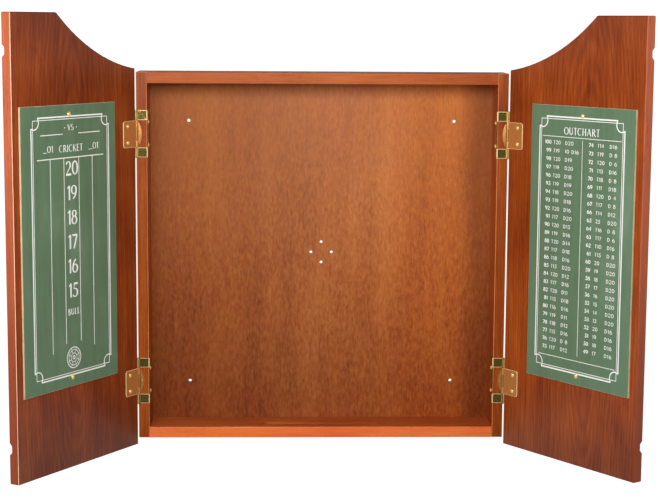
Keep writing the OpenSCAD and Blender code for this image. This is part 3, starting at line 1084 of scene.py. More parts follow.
@dataclass
class HingeSet:
    """The four wrap-round hinges with their pins, springs and screws.

    Attributes:
        shop: The finishes.
        rim: Rounding of the sheets' rims.
        bend_x: X of the outer corner where a tab turns round the side's front edge.
        bend_r: Radius of that turn.
        tab_face: Y of the tabs' faces.
        leaf_face: Y of the closed door leaf's bare face.
        tongue: Y of the spring tongue's face.
        tongue_back: Y of the plane that the hump is closed on, inside the tongue.
        hump_reach: Distance of the hump's middle outside the pin.
        hump_cut: How far inside the pin the hump is cut off straight.
        hump: Steps of the hump's section in millimetres: radius and rise over the tongue.
        turns: Facets of a whole turn of the hump.
        bright: Radii between which the hump carries a painted highlight, in millimetres.
        boss_in: Distance of the boss inside the pin.
        boss: Half sizes of the boss.
        small_face: Faces below this area belong to the boss, which carries a painted highlight.
        knuckle_r: Radius of the knuckles, with a little to spare.
        cap_round: Rounding of the pin's caps.
    """

    shop: Paintshop
    rim: float = 0.85 * MM
    bend_x: float = 261.0 * MM
    bend_r: float = 1.7 * MM
    tab_face: float = -69.0 * MM
    leaf_face: float = -69.5 * MM
    tongue: float = -68.9 * MM
    tongue_back: float = -68.4 * MM
    hump_reach: float = 26.0 * MM
    hump_cut: float = 2.6 * MM
    hump: Sequence[Point2] = (
        (27.0, 0.34), (30.4, 0.34), (30.8, 0.14), (31.9, 0.28),
        (32.5, 0.28), (33.0, 0.04), (33.7, 0.02),
    )
    turns: int = 120
    bright: Point2 = (31.0, 31.9)
    boss_in: float = 4.6 * MM
    boss: Triple = (1.3 * MM, 0.24 * MM, 1.3 * MM)
    small_face: float = 0.2 * MM * MM
    knuckle_r: float = 2.6 * MM
    cap_round: float = 0.5 * MM

    def build(self) -> None:
        """Make every hinge and its screws."""
        for side in Side:
            for level in ("upper", "lower"):
                self._frame_leaf(level, side)
                self._door_leaf(level, side)
                self._pin(level, side)
                self._spring(level, side)
            self._screws(f"{side.word}_door_leaf_screws", side.body)
            self._screws(f"{side.word}_board_screws", side.body)
        self._screws("frame_leaf_screws", "case")

    @staticmethod
    def _on_face(
        edge: bmesh.types.BMEdge, height: float, inverse: Matrix, spin: Matrix
    ) -> bool:
        """Say whether an edge is the rim of the flat face at that Y when closed.

        Args:
            edge: The edge.
            height: Y of the face in the closed pose.
            inverse: Takes points to the closed pose.
            spin: Takes normals to the closed pose.

        Returns:
            Whether it is such a rim.
        """
        if any(abs((inverse @ v.co).y - height) > TOUCH for v in edge.verts):
            return False
        tilt = sorted(abs((spin @ face.normal).y) for face in edge.link_faces)
        return edge.is_convex and tilt[0] < 0.2 and tilt[1] > 0.9

    def _frame_leaf(self, level: str, side: Side) -> None:
        """Leaf on the box, with painted highlights on its tab rims, its bend and its knuckle's front."""
        node = f"{level}_{side.word}_frame_leaf"
        leaf = merged_copy(node)
        still = Matrix.Identity(4)
        # The bend and the tab rims take the rim brass as a painted highlight.
        ease_edges(leaf, self._bend, self.bend_r, 5, finish=1)
        ease_edges(
            leaf,
            lambda edge: self._on_face(edge, self.tab_face, still, still.to_3x3()),
            self.rim,
            finish=1,
        )
        leaf.normal_update()
        # Painted highlight on the knuckle's outward front faces.
        for face in leaf.faces:
            away = face.calc_center_median() - side.pin
            around = math.hypot(away.x, away.y) < self.knuckle_r
            if around and face.normal.x * side.value > 0.1 and face.normal.y < -0.1:
                face.material_index = 1
        brasses = [self.shop.tab, self.shop.rim]
        Piece(f"{node}_brass", "case", "hinge_brass", brasses, [node]).show(leaf)

    def _bend(self, edge: bmesh.types.BMEdge) -> bool:
        """Say whether an edge is the one where a tab turns round the side's front edge."""
        near = 0.05 * MM
        return all(
            abs(abs(v.co.x) - self.bend_x) < near and abs(v.co.y - self.tab_face) < near
            for v in edge.verts
        )

    def _door_leaf(self, level: str, side: Side) -> None:
        """Leaf on the door, with painted highlights on its rims."""
        node = f"{level}_{side.word}_door_leaf"
        leaf = merged_copy(node)
        back = side.opened.inverted()
        spin = back.to_3x3()
        ease_edges(
            leaf,
            lambda edge: self._on_face(edge, self.leaf_face, back, spin),
            self.rim,
            finish=1,
        )
        brasses = [self.shop.plate, self.shop.rim]
        Piece(f"{node}_brass", side.body, "hinge_brass", brasses, [node]).show(leaf)

    def _pin(self, level: str, side: Side) -> None:
        """Pin with its rounded caps."""
        node = f"{level}_{side.word}_hinge_pin"
        pin = merged_copy(node)
        middle = sum((v.co.z for v in pin.verts), 0.0) / len(pin.verts)
        reach = max(abs(v.co.z - middle) for v in pin.verts)
        ease_edges(
            pin,
            lambda edge: all(abs(abs(v.co.z - middle) - reach) < TOUCH for v in edge.verts)
            and edge.calc_face_angle(0.0) > 1.0,
            self.cap_round,
        )
        Piece(f"{node}_brass", "case", "pin_brass", [self.shop.pin], [node]).show(pin)

    def _spring(self, level: str, side: Side) -> None:
        """Spring curl with a D-shaped hump of raised arcs on its tongue; one arc and the boss carry a
        painted highlight.
        """
        node = f"{level}_{side.word}_closing_spring"
        spring = merged_copy(node)
        low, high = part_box(node)
        middle = Vector(
            (side.pin.x + side.value * self.hump_reach, self.tongue, (low.z + high.z) / 2)
        )
        hump = self._hump(middle, side)
        spare = bpy.data.meshes.new("hump")
        hump.to_mesh(spare)
        hump.free()
        spring.from_mesh(spare)
        bpy.data.meshes.remove(spare)
        brasses = [self.shop.spring, self.shop.plate]
        Piece(f"{node}_brass", "case", "spring_brass", brasses, [node], smooth=40.0).show(
            spring, weighted=False
        )

    def _hump(self, middle: Vector, side: Side) -> bmesh.types.BMesh:
        """Raised arcs, turned about an axis along Y and cut to a D.

        Args:
            middle: Middle of the arcs, on the tongue's face.
            side: Which half of the cabinet.

        Returns:
            The hump as a closed mesh.
        """
        mesh = bmesh.new()
        inner, outer = self.hump[0][0], self.hump[-1][0]
        section = [(inner, None), *self.hump, (outer, None), (inner, None)]
        verts = []
        for radius, rise in section:
            y = self.tongue_back if rise is None else self.tongue - rise * MM
            verts.append(mesh.verts.new((middle.x + radius * MM, y, middle.z)))
        edges = [mesh.edges.new(pair) for pair in zip(verts, verts[1:])]
        bmesh.ops.spin(
            mesh,
            geom=verts + edges,
            cent=middle,
            axis=(0.0, 1.0, 0.0),
            angle=2 * math.pi,
            steps=self.turns,
            use_merge=True,
        )
        bmesh.ops.remove_doubles(mesh, verts=mesh.verts, dist=MERGE)
        bmesh.ops.bisect_plane(
            mesh,
            geom=mesh.verts[:] + mesh.edges[:] + mesh.faces[:],
            dist=0.001 * MM,
            plane_co=Vector((side.pin.x - side.value * self.hump_cut, 0, 0)),
            plane_no=Vector((side.value, 0, 0)),
            clear_outer=True,
        )
        bmesh.ops.edgeloop_fill(mesh, edges=[edge for edge in mesh.edges if edge.is_boundary])
        boss = Matrix.Translation(
            (side.pin.x - side.value * self.boss_in, self.tongue - self.hump[0][1] * MM, middle.z)
        ) @ Matrix.Diagonal((*self.boss, 1.0))
        bmesh.ops.create_uvsphere(mesh, u_segments=16, v_segments=10, radius=1.0, matrix=boss)
        bmesh.ops.recalc_face_normals(mesh, faces=mesh.faces)
        # Painted highlight: one arc of the hump and the boss take the paler plate brass.
        low, high = self.bright
        for face in mesh.faces:
            spot = face.calc_center_median() - middle
            away = math.hypot(spot.x, spot.z) / MM
            arc = low < away < high and face.normal.y < -0.5
            if arc or face.calc_area() < self.small_face:
                face.material_index = 1
        return mesh

    def _screws(self, node: str, body: str) -> None:
        """Slotted and domed screw heads."""
        screws = merged_copy(node)
        Piece(f"{node}_brass", body, "screw_brass", [self.shop.screw], [node], smooth=32.0).show(
            screws, weighted=False
        )


# ---------------------------------------------------------------- doors


@dataclass
class Door:
    """One crowned door with its score board.

    Attributes:
        side: Which door.
        shop: The finishes.
        ease: Rounding of the door's outline.
        crisp: Rounding along the hinged side.
        hinged_x: Only the hinged side lies further out than this on the closed door.
        free_x: Only the free edge lies further in than this on the closed door.
        board_ease: Rounding of the score board's edges.
        board_shortest: Edges of the score board shorter than this are left alone.
        shortest: Edges shorter than this are left alone, such as those round a screw hole.
        rubbed: Whether the free edge's inner corner gets a thin painted highlight.
    """

    side: Side
    shop: Paintshop
    ease: float = 1.8 * MM
    crisp: float = 0.6 * MM
    hinged_x: float = 273.5 * MM
    free_x: float = 3.5 * MM
    board_ease: float = 0.35 * MM
    board_shortest: float = 20.0 * MM
    shortest: float = 2.4 * MM
    rubbed: bool = False

    def build(self) -> None:
        """Make the door and its score board."""
        self._panel()
        self._score_board()

    def _panel(self) -> None:
        """The door itself, its outline eased on both faces."""
        node = f"door_{self.side.word}"
        panel = merged_copy(node)
        back = self.side.opened.inverted()
        spin = back.to_3x3()

        def outline(edge: bmesh.types.BMEdge) -> bool:
            """Whether the edge lies on the door's outline."""
            if edge.calc_length() < self.shortest or not edge.is_convex:
                return False
            tilt = sorted(abs((spin @ face.normal).y) for face in edge.link_faces)
            if tilt[0] > 0.1:
                return False
            return tilt[1] > 0.95 or edge.calc_face_angle(0.0) > 0.6

        def hinged(edge: bmesh.types.BMEdge) -> bool:
            """Whether the edge runs along the hinged side."""
            return all((back @ vert.co).x * self.side.value > self.hinged_x for vert in edge.verts)

        ease_edges(panel, lambda edge: outline(edge) and hinged(edge), self.crisp, 2)
        ease_edges(panel, lambda edge: outline(edge) and not hinged(edge), self.ease)
        panel.normal_update()
        for face in panel.faces:
            facing = spin @ face.normal
            outward = -facing.x * self.side.value
            near = (back @ face.calc_center_median()).x * self.side.value < self.free_x
            # Painted highlight: the middle facet of the free edge's inner rounding takes the pale wood.
            if near and 0.55 < outward < 0.85 and facing.y > 0.5 and self.rubbed:
                face.material_index = 2
            elif near and outward > 0.7:
                face.material_index = 1
            elif facing.z > 0.3:
                face.material_index = 3
        woods = [
            self.shop.doors[self.side],
            self.shop.lipping[self.side],
            self.shop.door_worn,
            self.shop.end_grain,
        ]
        Piece(f"{node}_wood", self.side.body, "door_wood", woods, [node]).show(panel)

    def _score_board(self) -> None:
        """Thin board: painted faces, bare cut edges."""
        node = f"score_board_{self.side.word}"
        board = merged_copy(node)
        ease_edges(
            board, lambda edge: square_edge(edge, self.board_shortest), self.board_ease, 2
        )
        spin = self.side.opened.inverted().to_3x3()
        board.normal_update()
        for face in board.faces:
            face.material_index = 0 if abs((spin @ face.normal).y) > 0.9 else 1
        Piece(
            f"{node}_painted",
            self.side.body,
            f"score_board_{self.side.word}",
            [self.shop.paints[self.side], self.shop.core],
            [node],
        ).show(board)


# ---------------------------------------------------------------- lettering


@dataclass(frozen=True)
class Stroke:
    """One pull of the pen, as points on a letter one unit high.

    Attributes:
        points: Places that the pen passes.
        weight: None for a pen that is thick upright and thin level, or a fixed share.
    """

    points: tuple[Point2, ...]
    weight: float | None = None


def line(x0: float, y0: float, x1: float, y1: float, weight: float | None = None) -> Stroke:
    """A straight stroke."""
    return Stroke(((x0, y0), (x1, y1)), weight)


def arc(
    x: float,
    y: float,
    across: float,
    up: float,
    start: float = 0.0,
    end: float = 360.0,
    steps: int = 14,
) -> Stroke:
    """A stroke along part of an oval.

    Args:
        x: Middle, across.
        y: Middle, up.
        across: Half width.
        up: Half height.
        start: First angle, in degrees.
        end: Last angle, in degrees.
        steps: Facets of a whole oval.

    Returns:
        The stroke.
    """
    count = max(3, round(abs(end - start) / 360.0 * steps))
    angles = [math.radians(start + (end - start) * i / count) for i in range(count + 1)]
    return Stroke(tuple((x + across * math.cos(a), y + up * math.sin(a)) for a in angles))


HAIR = 0.38  # share of the thick stroke that a hairline has


def alphabet() -> dict[str, tuple[float, list[Stroke]]]:
    """Give each letter its width and its strokes, in an old roman hand.

    Returns:
        Width and strokes, by letter.
    """
    stem = 0.1
    return {
        "0": (0.72, [arc(0.36, 0.5, 0.27, 0.46)]),
        "1": (0.42, [line(0.26, 1.0, 0.26, 0.0), line(0.06, 0.80, 0.26, 0.97, 0.6)]),
        "2": (0.70, [
            arc(0.33, 0.71, 0.22, 0.25, 165, -35),
            line(0.52, 0.58, 0.1, 0.07, 0.5),
            line(0.07, 0.06, 0.63, 0.06, 0.95),
        ]),
        "3": (0.64, [arc(0.28, 0.75, 0.21, 0.21, 150, -90), arc(0.27, 0.27, 0.25, 0.26, 90, -150)]),
        "4": (0.72, [
            line(0.48, 1.0, 0.48, 0.0),
            line(0.46, 0.97, 0.07, 0.33, 0.45),
            line(0.05, 0.33, 0.68, 0.33, 0.5),
        ]),
        "5": (0.66, [
            line(0.2, 0.94, 0.6, 0.94, 0.9),
            line(0.21, 0.94, 0.17, 0.56, 0.4),
            arc(0.29, 0.31, 0.27, 0.29, 112, -150),
        ]),
        "6": (0.70, [arc(0.36, 0.31, 0.25, 0.29), arc(0.68, 0.4, 0.56, 0.58, 180, 112)]),
        "7": (0.64, [line(0.08, 0.94, 0.6, 0.94, 0.85), line(0.58, 0.92, 0.24, 0.0)]),
        "8": (0.68, [arc(0.34, 0.75, 0.2, 0.21), arc(0.34, 0.28, 0.25, 0.27)]),
        "9": (0.70, [arc(0.34, 0.69, 0.25, 0.29), arc(0.02, 0.6, 0.56, 0.58, 0, -68)]),
        "A": (0.80, [
            line(0.1, 0.0, 0.38, 1.0, 0.45), line(0.38, 1.0, 0.68, 0.0), line(0.2, 0.34, 0.56, 0.34, HAIR),
        ]),
        "B": (0.66, [
            line(0.14 + stem / 2, 0.0, 0.14 + stem / 2, 1.0),
            arc(0.22, 0.75, 0.24, 0.22, 90, -90),
            arc(0.22, 0.27, 0.33, 0.26, 90, -90),
        ]),
        "C": (0.76, [arc(0.42, 0.5, 0.32, 0.47, 52, 308)]),
        "D": (0.78, [line(0.18, 0.0, 0.18, 1.0), arc(0.2, 0.5, 0.46, 0.47, 90, -90)]),
        "E": (0.62, [
            line(0.18, 0.0, 0.18, 1.0), line(0.18, 0.96, 0.56, 0.96, HAIR),
            line(0.18, 0.52, 0.5, 0.52, HAIR), line(0.18, 0.04, 0.58, 0.04, HAIR),
        ]),
        "H": (0.80, [
            line(0.18, 0.0, 0.18, 1.0), line(0.62, 0.0, 0.62, 1.0), line(0.18, 0.52, 0.62, 0.52, HAIR),
        ]),
        "I": (0.36, [line(0.18, 0.0, 0.18, 1.0)]),
        "K": (0.74, [
            line(0.18, 0.0, 0.18, 1.0), line(0.2, 0.46, 0.62, 0.98, 0.45), line(0.32, 0.58, 0.68, 0.0, 0.9),
        ]),
        "L": (0.58, [line(0.18, 0.0, 0.18, 1.0), line(0.18, 0.04, 0.55, 0.04, HAIR)]),
        "O": (0.82, [arc(0.41, 0.5, 0.33, 0.47)]),
        "R": (0.74, [
            line(0.18, 0.0, 0.18, 1.0),
            arc(0.24, 0.74, 0.3, 0.23, 90, -90),
            line(0.3, 0.5, 0.68, 0.0, 0.9),
        ]),
        "S": (0.60, [arc(0.3, 0.74, 0.2, 0.23, 40, 250), arc(0.3, 0.27, 0.23, 0.25, 80, -150)]),
        "T": (0.66, [line(0.33, 0.0, 0.33, 1.0), line(0.05, 0.96, 0.61, 0.96, HAIR)]),
        "U": (0.78, [
            line(0.17, 0.34, 0.17, 1.0),
            arc(0.39, 0.33, 0.22, 0.29, 180, 360),
            line(0.61, 0.33, 0.61, 1.0, 0.5),
        ]),
        "V": (0.76, [line(0.1, 1.0, 0.38, 0.0), line(0.38, 0.0, 0.66, 1.0, 0.45)]),
        "_": (0.72, [line(0.02, 0.0, 0.7, 0.0, 0.6)]),
        ".": (0.30, [line(0.1, 0.5, 0.2, 0.5, 1.0)]),
        " ": (0.42, []),
    }


LETTERS = alphabet()


@dataclass
class Pen:
    """A broad pen that writes raised letters as thin closed plates.

    Attributes:
        thick: Width of upright strokes, as a share of the letter's height.
        thin: Width of level strokes, as the same share.
        rise: How far the ink stands off the board, in millimetres.
        sink: How far it reaches into the board, in millimetres.
        layer: How much higher each further stroke of a letter lies, in millimetres.
        cache: The letters made so far.
    """

    thick: float = 0.155
    thin: float = 0.055
    rise: float = 0.09
    sink: float = 0.03
    layer: float = 0.008
    cache: dict[str, bpy.types.Mesh] = field(default_factory=dict)

    def width(self, heading: Vector, weight: float | None) -> float:
        """Width of the stroke that goes along heading."""
        if weight is not None:
            return self.thick * weight
        return self.thin + (self.thick - self.thin) * abs(heading.y) ** 1.4

    def ribbon(
        self, mesh: bmesh.types.BMesh, stroke: Stroke, top: float, squeeze: float = 1.0
    ) -> None:
        """Draw one stroke as a closed plate from the sink to the top.

        Args:
            mesh: Mesh that the stroke is added to.
            stroke: The stroke.
            top: Height of the plate's face.
            squeeze: How much narrower the letter is made, so that strokes keep their width.
        """
        path = [Vector((x, y, 0.0)) for x, y in stroke.points]
        closed = (path[0] - path[-1]).length < 0.001
        nibs: list[tuple[Vector, Vector]] = []
        for i, place in enumerate(path):
            before = path[i - 1] if i else (path[-2] if closed else place)
            after = path[i + 1] if i + 1 < len(path) else (path[1] if closed else place)
            heading = (after - before).normalized()
            half = self.width(heading, stroke.weight) / 2
            sideways = Vector((-heading.y / squeeze, heading.x, 0.0)) * half
            nibs.append((place + sideways, place - sideways))
        edge = mesh.edges.new([mesh.verts.new(spot) for spot in nibs[0]])
        faces = []
        for left, right in nibs[1:]:
            made = bmesh.ops.extrude_edge_only(mesh, edges=[edge])["geom"]
            faces += [item for item in made if isinstance(item, bmesh.types.BMFace)]
            fresh = [item for item in made if isinstance(item, bmesh.types.BMVert)]
            edge = next(
                item
                for item in made
                if isinstance(item, bmesh.types.BMEdge) and all(v in fresh for v in item.verts)
            )
            for vert, spot in zip(self._in_order(edge, nibs[len(faces) - 1]), (left, right)):
                vert.co = spot
        own = list({vert for face in faces for vert in face.verts})
        if closed:
            bmesh.ops.remove_doubles(mesh, verts=own, dist=0.0005)
            faces = [face for face in faces if face.is_valid]
        grown = bmesh.ops.extrude_face_region(mesh, geom=faces, use_keep_orig=True)["geom"]
        lifted = {item for item in grown if isinstance(item, bmesh.types.BMVert)}
        floor = {vert for face in faces for vert in face.verts} - lifted
        bmesh.ops.translate(mesh, verts=list(lifted), vec=(0.0, 0.0, top))
        bmesh.ops.translate(mesh, verts=list(floor), vec=(0.0, 0.0, -self.sink))

    @staticmethod
    def _in_order(
        edge: bmesh.types.BMEdge, was: tuple[Vector, Vector]
    ) -> tuple[bmesh.types.BMVert, bmesh.types.BMVert]:
        """The edge's ends, left one first; they still lie on the nib before."""
        first, second = edge.verts
        if (first.co - was[0]).length <= (second.co - was[0]).length:
            return first, second
        return second, first

    def letter(self, sign: str, squeeze: float) -> bpy.types.Mesh:
        """Mesh of one letter a unit high, made once."""
        key = f"{sign}{squeeze:.2f}"
        if key not in self.cache:
            mesh = bmesh.new()
            for layer, stroke in enumerate(LETTERS[sign][1]):
                self.ribbon(mesh, stroke, self.rise + layer * self.layer, squeeze)
            bmesh.ops.recalc_face_normals(mesh, faces=mesh.faces)
            self.cache[key] = bpy.data.meshes.new("letter")
            mesh.to_mesh(self.cache[key])
            mesh.free()
        return self.cache[key]

    def write(
        self,
        page: bmesh.types.BMesh,
        text: str,
        a: float,
        b: float,
        height: float,
        squeeze: float = 1.0,
        gap: float = 0.0,
        anchor: float = 0.0,
    ) -> None:
        """Write a word on the page.

        Args:
            page: Mesh in board coordinates, millimetres.
            text: The word.
            a: Where the word starts, across.
            b: Its base line.
            height: Height of a capital.
            squeeze: Width of the letters, as a share of their own.
            gap: More space between letters, as a share of the height.
            anchor: 0 starts the word at a, 0.5 centres it there, 1 ends it there.
        """
        steps = [(LETTERS[sign][0] * squeeze + gap) * height for sign in text]
        place = a - anchor * (sum(steps) - gap * height)
        for sign, step in zip(text, steps):
            if LETTERS[sign][1]:
                copy = self.letter(sign, squeeze).copy()
                copy.transform(
                    Matrix.Translation((place, b, 0.0))
                    @ Matrix.Diagonal((squeeze * height, height, 1.0, 1.0))
                )
                page.from_mesh(copy)
                bpy.data.meshes.remove(copy)
            place += step

    def drop(self) -> None:
        """Throw away the cached letters."""
        for mesh in self.cache.values():
            bpy.data.meshes.remove(mesh)
        self.cache.clear()


@dataclass
class ScoreSheet:
    """White print of one score board, in board coordinates: a across, b up, both from its middle.

    Attributes:
        side: Which board.
        shop: The finishes.
        middle_a: Where the print's middle lies across the board.
        board_x: X of the board's middle on the closed right door.
        board_z: Z of the board's middle.
        half_w: Half width of the border.
        top_b: Height of the border's upper side.
        low_b: Height of its lower side.
        scoop: Radius of its scooped corners.
        scoop_in: How far in the scoops' middles lie.
        thick: Width of the border's outer rule.
        thin: Width of its inner one.
        inset: Distance between the two.
        pen: The pen that writes on the board.
        page: The print so far.
    """

    side: Side
    shop: Paintshop
    middle_a: float = 0.0
    board_x: float = 118.0
    board_z: float = 34.5
    half_w: float = 84.8
    top_b: float = 185.0
    low_b: float = -184.5
    scoop: float = 9.8
    scoop_in: float = 6.0
    thick: float = 2.1
    thin: float = 1.0
    inset: float = 3.4
    pen: Pen = field(default_factory=Pen)
    page: bmesh.types.BMesh = field(default_factory=bmesh.new)

    def build(self) -> None:
        """Print the board and place the print on it."""
        self.border()
        self.fill()
        back = self.side.opened.inverted()
        board = NODES[f"score_board_{self.side.word}"].data
        face_y = max((back @ vert.co).y for vert in board.vertices) / MM
        place = Matrix(
            (
                (-1.0, 0.0, 0.0, self.side.value * self.board_x),
                (0.0, 0.0, 1.0, face_y),
                (0.0, 1.0, 0.0, self.board_z),
                (0.0, 0.0, 0.0, 1.0),
            )
        )
        bmesh.ops.transform(
            self.page,
            matrix=self.side.opened @ Matrix.Scale(MM, 4) @ place,
            verts=self.page.verts,
        )
        name = f"score_board_{self.side.word}_print"
        Piece(name, self.side.body, f"score_board_{self.side.word}", [self.shop.ink]).show(
            self.page, weighted=False
        )
        self.pen.drop()

    def fill(self) -> None:
        """Print what stands inside the border."""
        raise NotImplementedError

    def rule(self, a0: float, b0: float, a1: float, b1: float, width: float, rise: float = 0.09) -> None:
        """Print a straight rule.

        Args:
            a0: Start across, from the print's middle.
            b0: Start up.
            a1: End across.
            b1: End up.
            width: Width of the rule.
            rise: Height of its face.
        """
        run = Vector((a1 - a0, b1 - b0, 0.0))
        spot = Vector(((a0 + a1) / 2 + self.middle_a, (b0 + b1) / 2, (rise - 0.03) / 2))
        turn = Matrix.Rotation(math.atan2(run.y, run.x), 4, "Z")
        size = Matrix.Diagonal((run.length, width, rise + 0.03, 1.0))
        bmesh.ops.create_cube(self.page, size=1.0, matrix=Matrix.Translation(spot) @ turn @ size)

    def curve(self, a: float, b: float, radius: float, start: float, end: float, width: float,
              rise: float = 0.09, steps: int = 48) -> None:
        """Print part of a ring of even width."""
        pen = Pen(thick=width, thin=width, rise=rise)
        ring = arc(a + self.middle_a, b, radius, radius, start, end, steps)
        pen.ribbon(self.page, Stroke(ring.points, 1.0), rise)

    def border(self) -> None:
        """Print the scooped outer rule and the thin square-cornered one inside it."""
        w, t, l, s = self.half_w, self.top_b, self.low_b, self.thick
        swing = math.asin(self.scoop_in / self.scoop)
        r = self.scoop_in + self.scoop * math.cos(swing)
        open_angle = math.degrees(swing)
        for b in (t, l):
            self.rule(-w + r, b, w - r, b, s, 0.13)
        for a in (-w, w):
            self.rule(a, l + r, a, t - r, s, 0.13)
        for a, b, turn in ((1, 1, 180), (-1, 1, 270), (-1, -1, 0), (1, -1, 90)):
            spot_a = a * (w - self.scoop_in)
            spot_b = (t if b > 0 else l) - b * self.scoop_in
            start, end = turn - open_angle, turn + 90 + open_angle
            self.curve(spot_a, spot_b, self.scoop, start, end, s * 0.8, 0.12)
        wi, ti, li = w - self.inset, t - self.inset, l + self.inset
        for b in (ti, li):
            self.rule(-wi - self.thin / 2, b, wi + self.thin / 2, b, self.thin, 0.1)
        for a in (-wi, wi):
            self.rule(a, li, a, ti, self.thin, 0.09)


@dataclass
class CricketSheet(ScoreSheet):
    """Left board: columns for a two-player game, with the counted numbers down the middle.

    Attributes:
        numbers: The numbers, from the top.
        first_number: Height of the first one's middle.
        number_step: Distance from one to the next.
        number_height: Height of their figures.
        target_b: Height of the target's middle.
        rings: Radius and width of the target's rings.
    """

    numbers: Sequence[str] = ("20", "19", "18", "17", "16", "15")
    first_number: float = 112.0
    number_step: float = 34.9
    number_height: float = 20.4
    target_b: float = -160.0
    rings: Sequence[Point2] = ((15.0, 1.2), (11.2, 0.9), (6.4, 0.9), (2.3, 1.4))

    def fill(self) -> None:
        """Print headings, columns, numbers and the target mark."""
        m = self.middle_a
        self.pen.write(self.page, "VS", m - 0.5, 165.2, 8.6, 1.12, 0.02, anchor=0.5)
        for a in (-13.5, 12.5):
            self.rule(a - 0.8, 169.2, a + 0.8, 169.2, 1.6)
        self.rule(-65.5, 160.6, -17.4, 160.6, 1.2)
        self.rule(16.6, 160.6, 65.2, 160.6, 1.2)
        self.pen.write(self.page, "CRICKET", m, 135.2, 10.0, 1.14, 0.0, anchor=0.5)
        for a in (-49.5, 50.5):
            self.pen.write(self.page, "_01", m + a, 136.2, 9.4, 1.3, 0.0, anchor=0.5)
        self.rule(-73.3, 127.0, 72.5, 127.0, 1.4)
        for a, low in ((-45.6, -148.6), (-16.0, -137.6), (16.8, -138.0), (46.9, -148.8)):
            self.rule(a, 126.5, a, low, 1.1, 0.08)
        for row, number in enumerate(self.numbers):
            base = self.first_number - row * self.number_step - self.number_height / 2
            self.pen.write(self.page, number, m + 1.0, base, self.number_height, 0.98, 0.0, 0.5)
        self.pen.write(self.page, "BULL", m + 1.2, -97.8, 9.2, 1.1, 0.0, anchor=0.5)
        self.target()

    def target(self) -> None:
        """Print a plain target of rings with quarter marks."""
        b = self.target_b
        for radius, width in self.rings:
            self.curve(0.0, b, radius, 0.0, 360.0, width, 0.1, 36)
        outer, inner = self.rings[0][0], self.rings[2][0]
        for i in range(8):
            angle = math.radians(22.5 + 45.0 * i)
            c, s = math.cos(angle), math.sin(angle)
            self.rule(inner * c, b + inner * s, outer * c, b + outer * s, 0.7, 0.08)


@dataclass
class OutSheet(ScoreSheet):
    """Right board: a chart of the throws that finish a game from each score.

    Attributes:
        left_rows: Throws of the left column, from the highest score down.
        right_rows: Throws of the right column.
        highest: The first row's score.
        row_height: Height of the figures.
        first_b: Base line of the first row, left and right.
        step_b: Distance from row to row, left and right.
        left_a: Where the score ends and where its first and last throw start, on the left.
        right_a: The same on the right.
        bold: Pen of the scores.
        light: Pen of the throws.
    """

    left_rows: Sequence[str] = (
        "T20 D20", "T19 10 D16", "T20 D19", "T19 D20", "T20 D18", "T19 D19", "T18 D20",
        "T19 D18", "T20 D16", "T17 D20", "T20 D15", "T19 D16", "T20 D14", "T17 D18",
        "T18 D16", "T15 D20", "T20 D12", "T17 D16", "T20 D11", "T15 D18", "T16 D16",
        "T19 D11", "T18 D12", "T15 D16", "T20 D 8", "T17 D12",
    )
    right_rows: Sequence[str] = (
        "T14 D16", "T19 D 8", "T20 D 6", "T13 D16", "T18 D 8", "T11 D18", "T20 D 4",
        "T17 D 8", "T14 D12", "25 D20", "T16 D 8", "T17 D 6", "T10 D16", "T15 D 8",
        "20 D20", "19 D20", "18 D20", "17 D20", "16 D20", "15 D20", "14 D20",
        "13 D20", "20 D16", "19 D16", "18 D16", "17 D16",
    )
    highest: int = 100
    row_height: float = 5.3
    first_b: Point2 = (145.2, 145.4)
    step_b: Point2 = (12.06, 11.88)
    left_a: Triple = (-62.0, -57.6, -34.2)
    right_a: Triple = (23.5, 31.0, 54.5)
    bold: Pen = field(default_factory=lambda: Pen(thick=0.25, thin=0.14))
    light: Pen = field(default_factory=lambda: Pen(thick=0.18, thin=0.14))

    def fill(self) -> None:
        """Print the heading, the rules and both columns."""
        m = self.middle_a
        self.pen.write(self.page, "OUTCHART", m + 1.0, 160.2, 10.6, 1.16, -0.02, anchor=0.5)
        self.rule(-78.5, 156.4, 79.0, 156.4, 0.9)
        self.rule(3.0, 153.4, 3.0, -159.0, 0.9, 0.08)
        self.rule(-77.5, -166.0, 78.0, -166.0, 0.9)
        score = self.highest
        columns = (self.left_rows, self.left_a), (self.right_rows, self.right_a)
        for (rows, places), first, step in zip(columns, self.first_b, self.step_b):
            for row, throws in enumerate(rows):
                self._row(score, throws, places, first - row * step)
                score -= 1
        self.bold.drop()
        self.light.drop()

    def _row(self, score: int, throws: str, places: Triple, b: float) -> None:
        """Print one row: the score, the throws and the closing double.

        Args:
            score: Score that is left.
            throws: Throws that finish it.
            places: Where the score ends, the first throw starts and the closing double starts.
            b: Base line.
        """
        h = self.row_height
        end_a, first_a, last_a = places
        first, rest = throws.split(" ", 1)
        self.bold.write(self.page, str(score), end_a, b, h, 1.3, 0.05, anchor=1.0)
        self.light.write(self.page, first, first_a, b, h, 1.3, 0.06)
        self.light.write(self.page, rest, last_a, b, h, 1.45, 0.08)


# ---------------------------------------------------------------- studio


@dataclass
class Softbox:
    """One rectangular soft light.

    Attributes:
        name: Name of the light.
        place: Where it hangs, in metres.
        aim: The point that it faces.
        size: Width and height.
        power: Power, in watts.
        tint: Colour of the light.
    """

    name: str
    place: Triple
    aim: Triple
    size: tuple[float, float]
    power: float
    tint: Triple = (1.0, 1.0, 1.0)

    def hang(self) -> None:
        """Put the light in the scene."""
        light = bpy.data.lights.new(self.name, "AREA")
        light.shape = "RECTANGLE"
        light.size, light.size_y = self.size
        light.energy = self.power
        light.color = self.tint
        lamp = bpy.data.objects.new(self.name, light)
        lamp.location = self.place
        lamp.rotation_mode = "QUATERNION"
        lamp.rotation_quaternion = (Vector(self.aim) - Vector(self.place)).to_track_quat("-Z", "Y")
        bpy.context.scene.collection.objects.link(lamp)
        LOG.info("light %s", self.name)


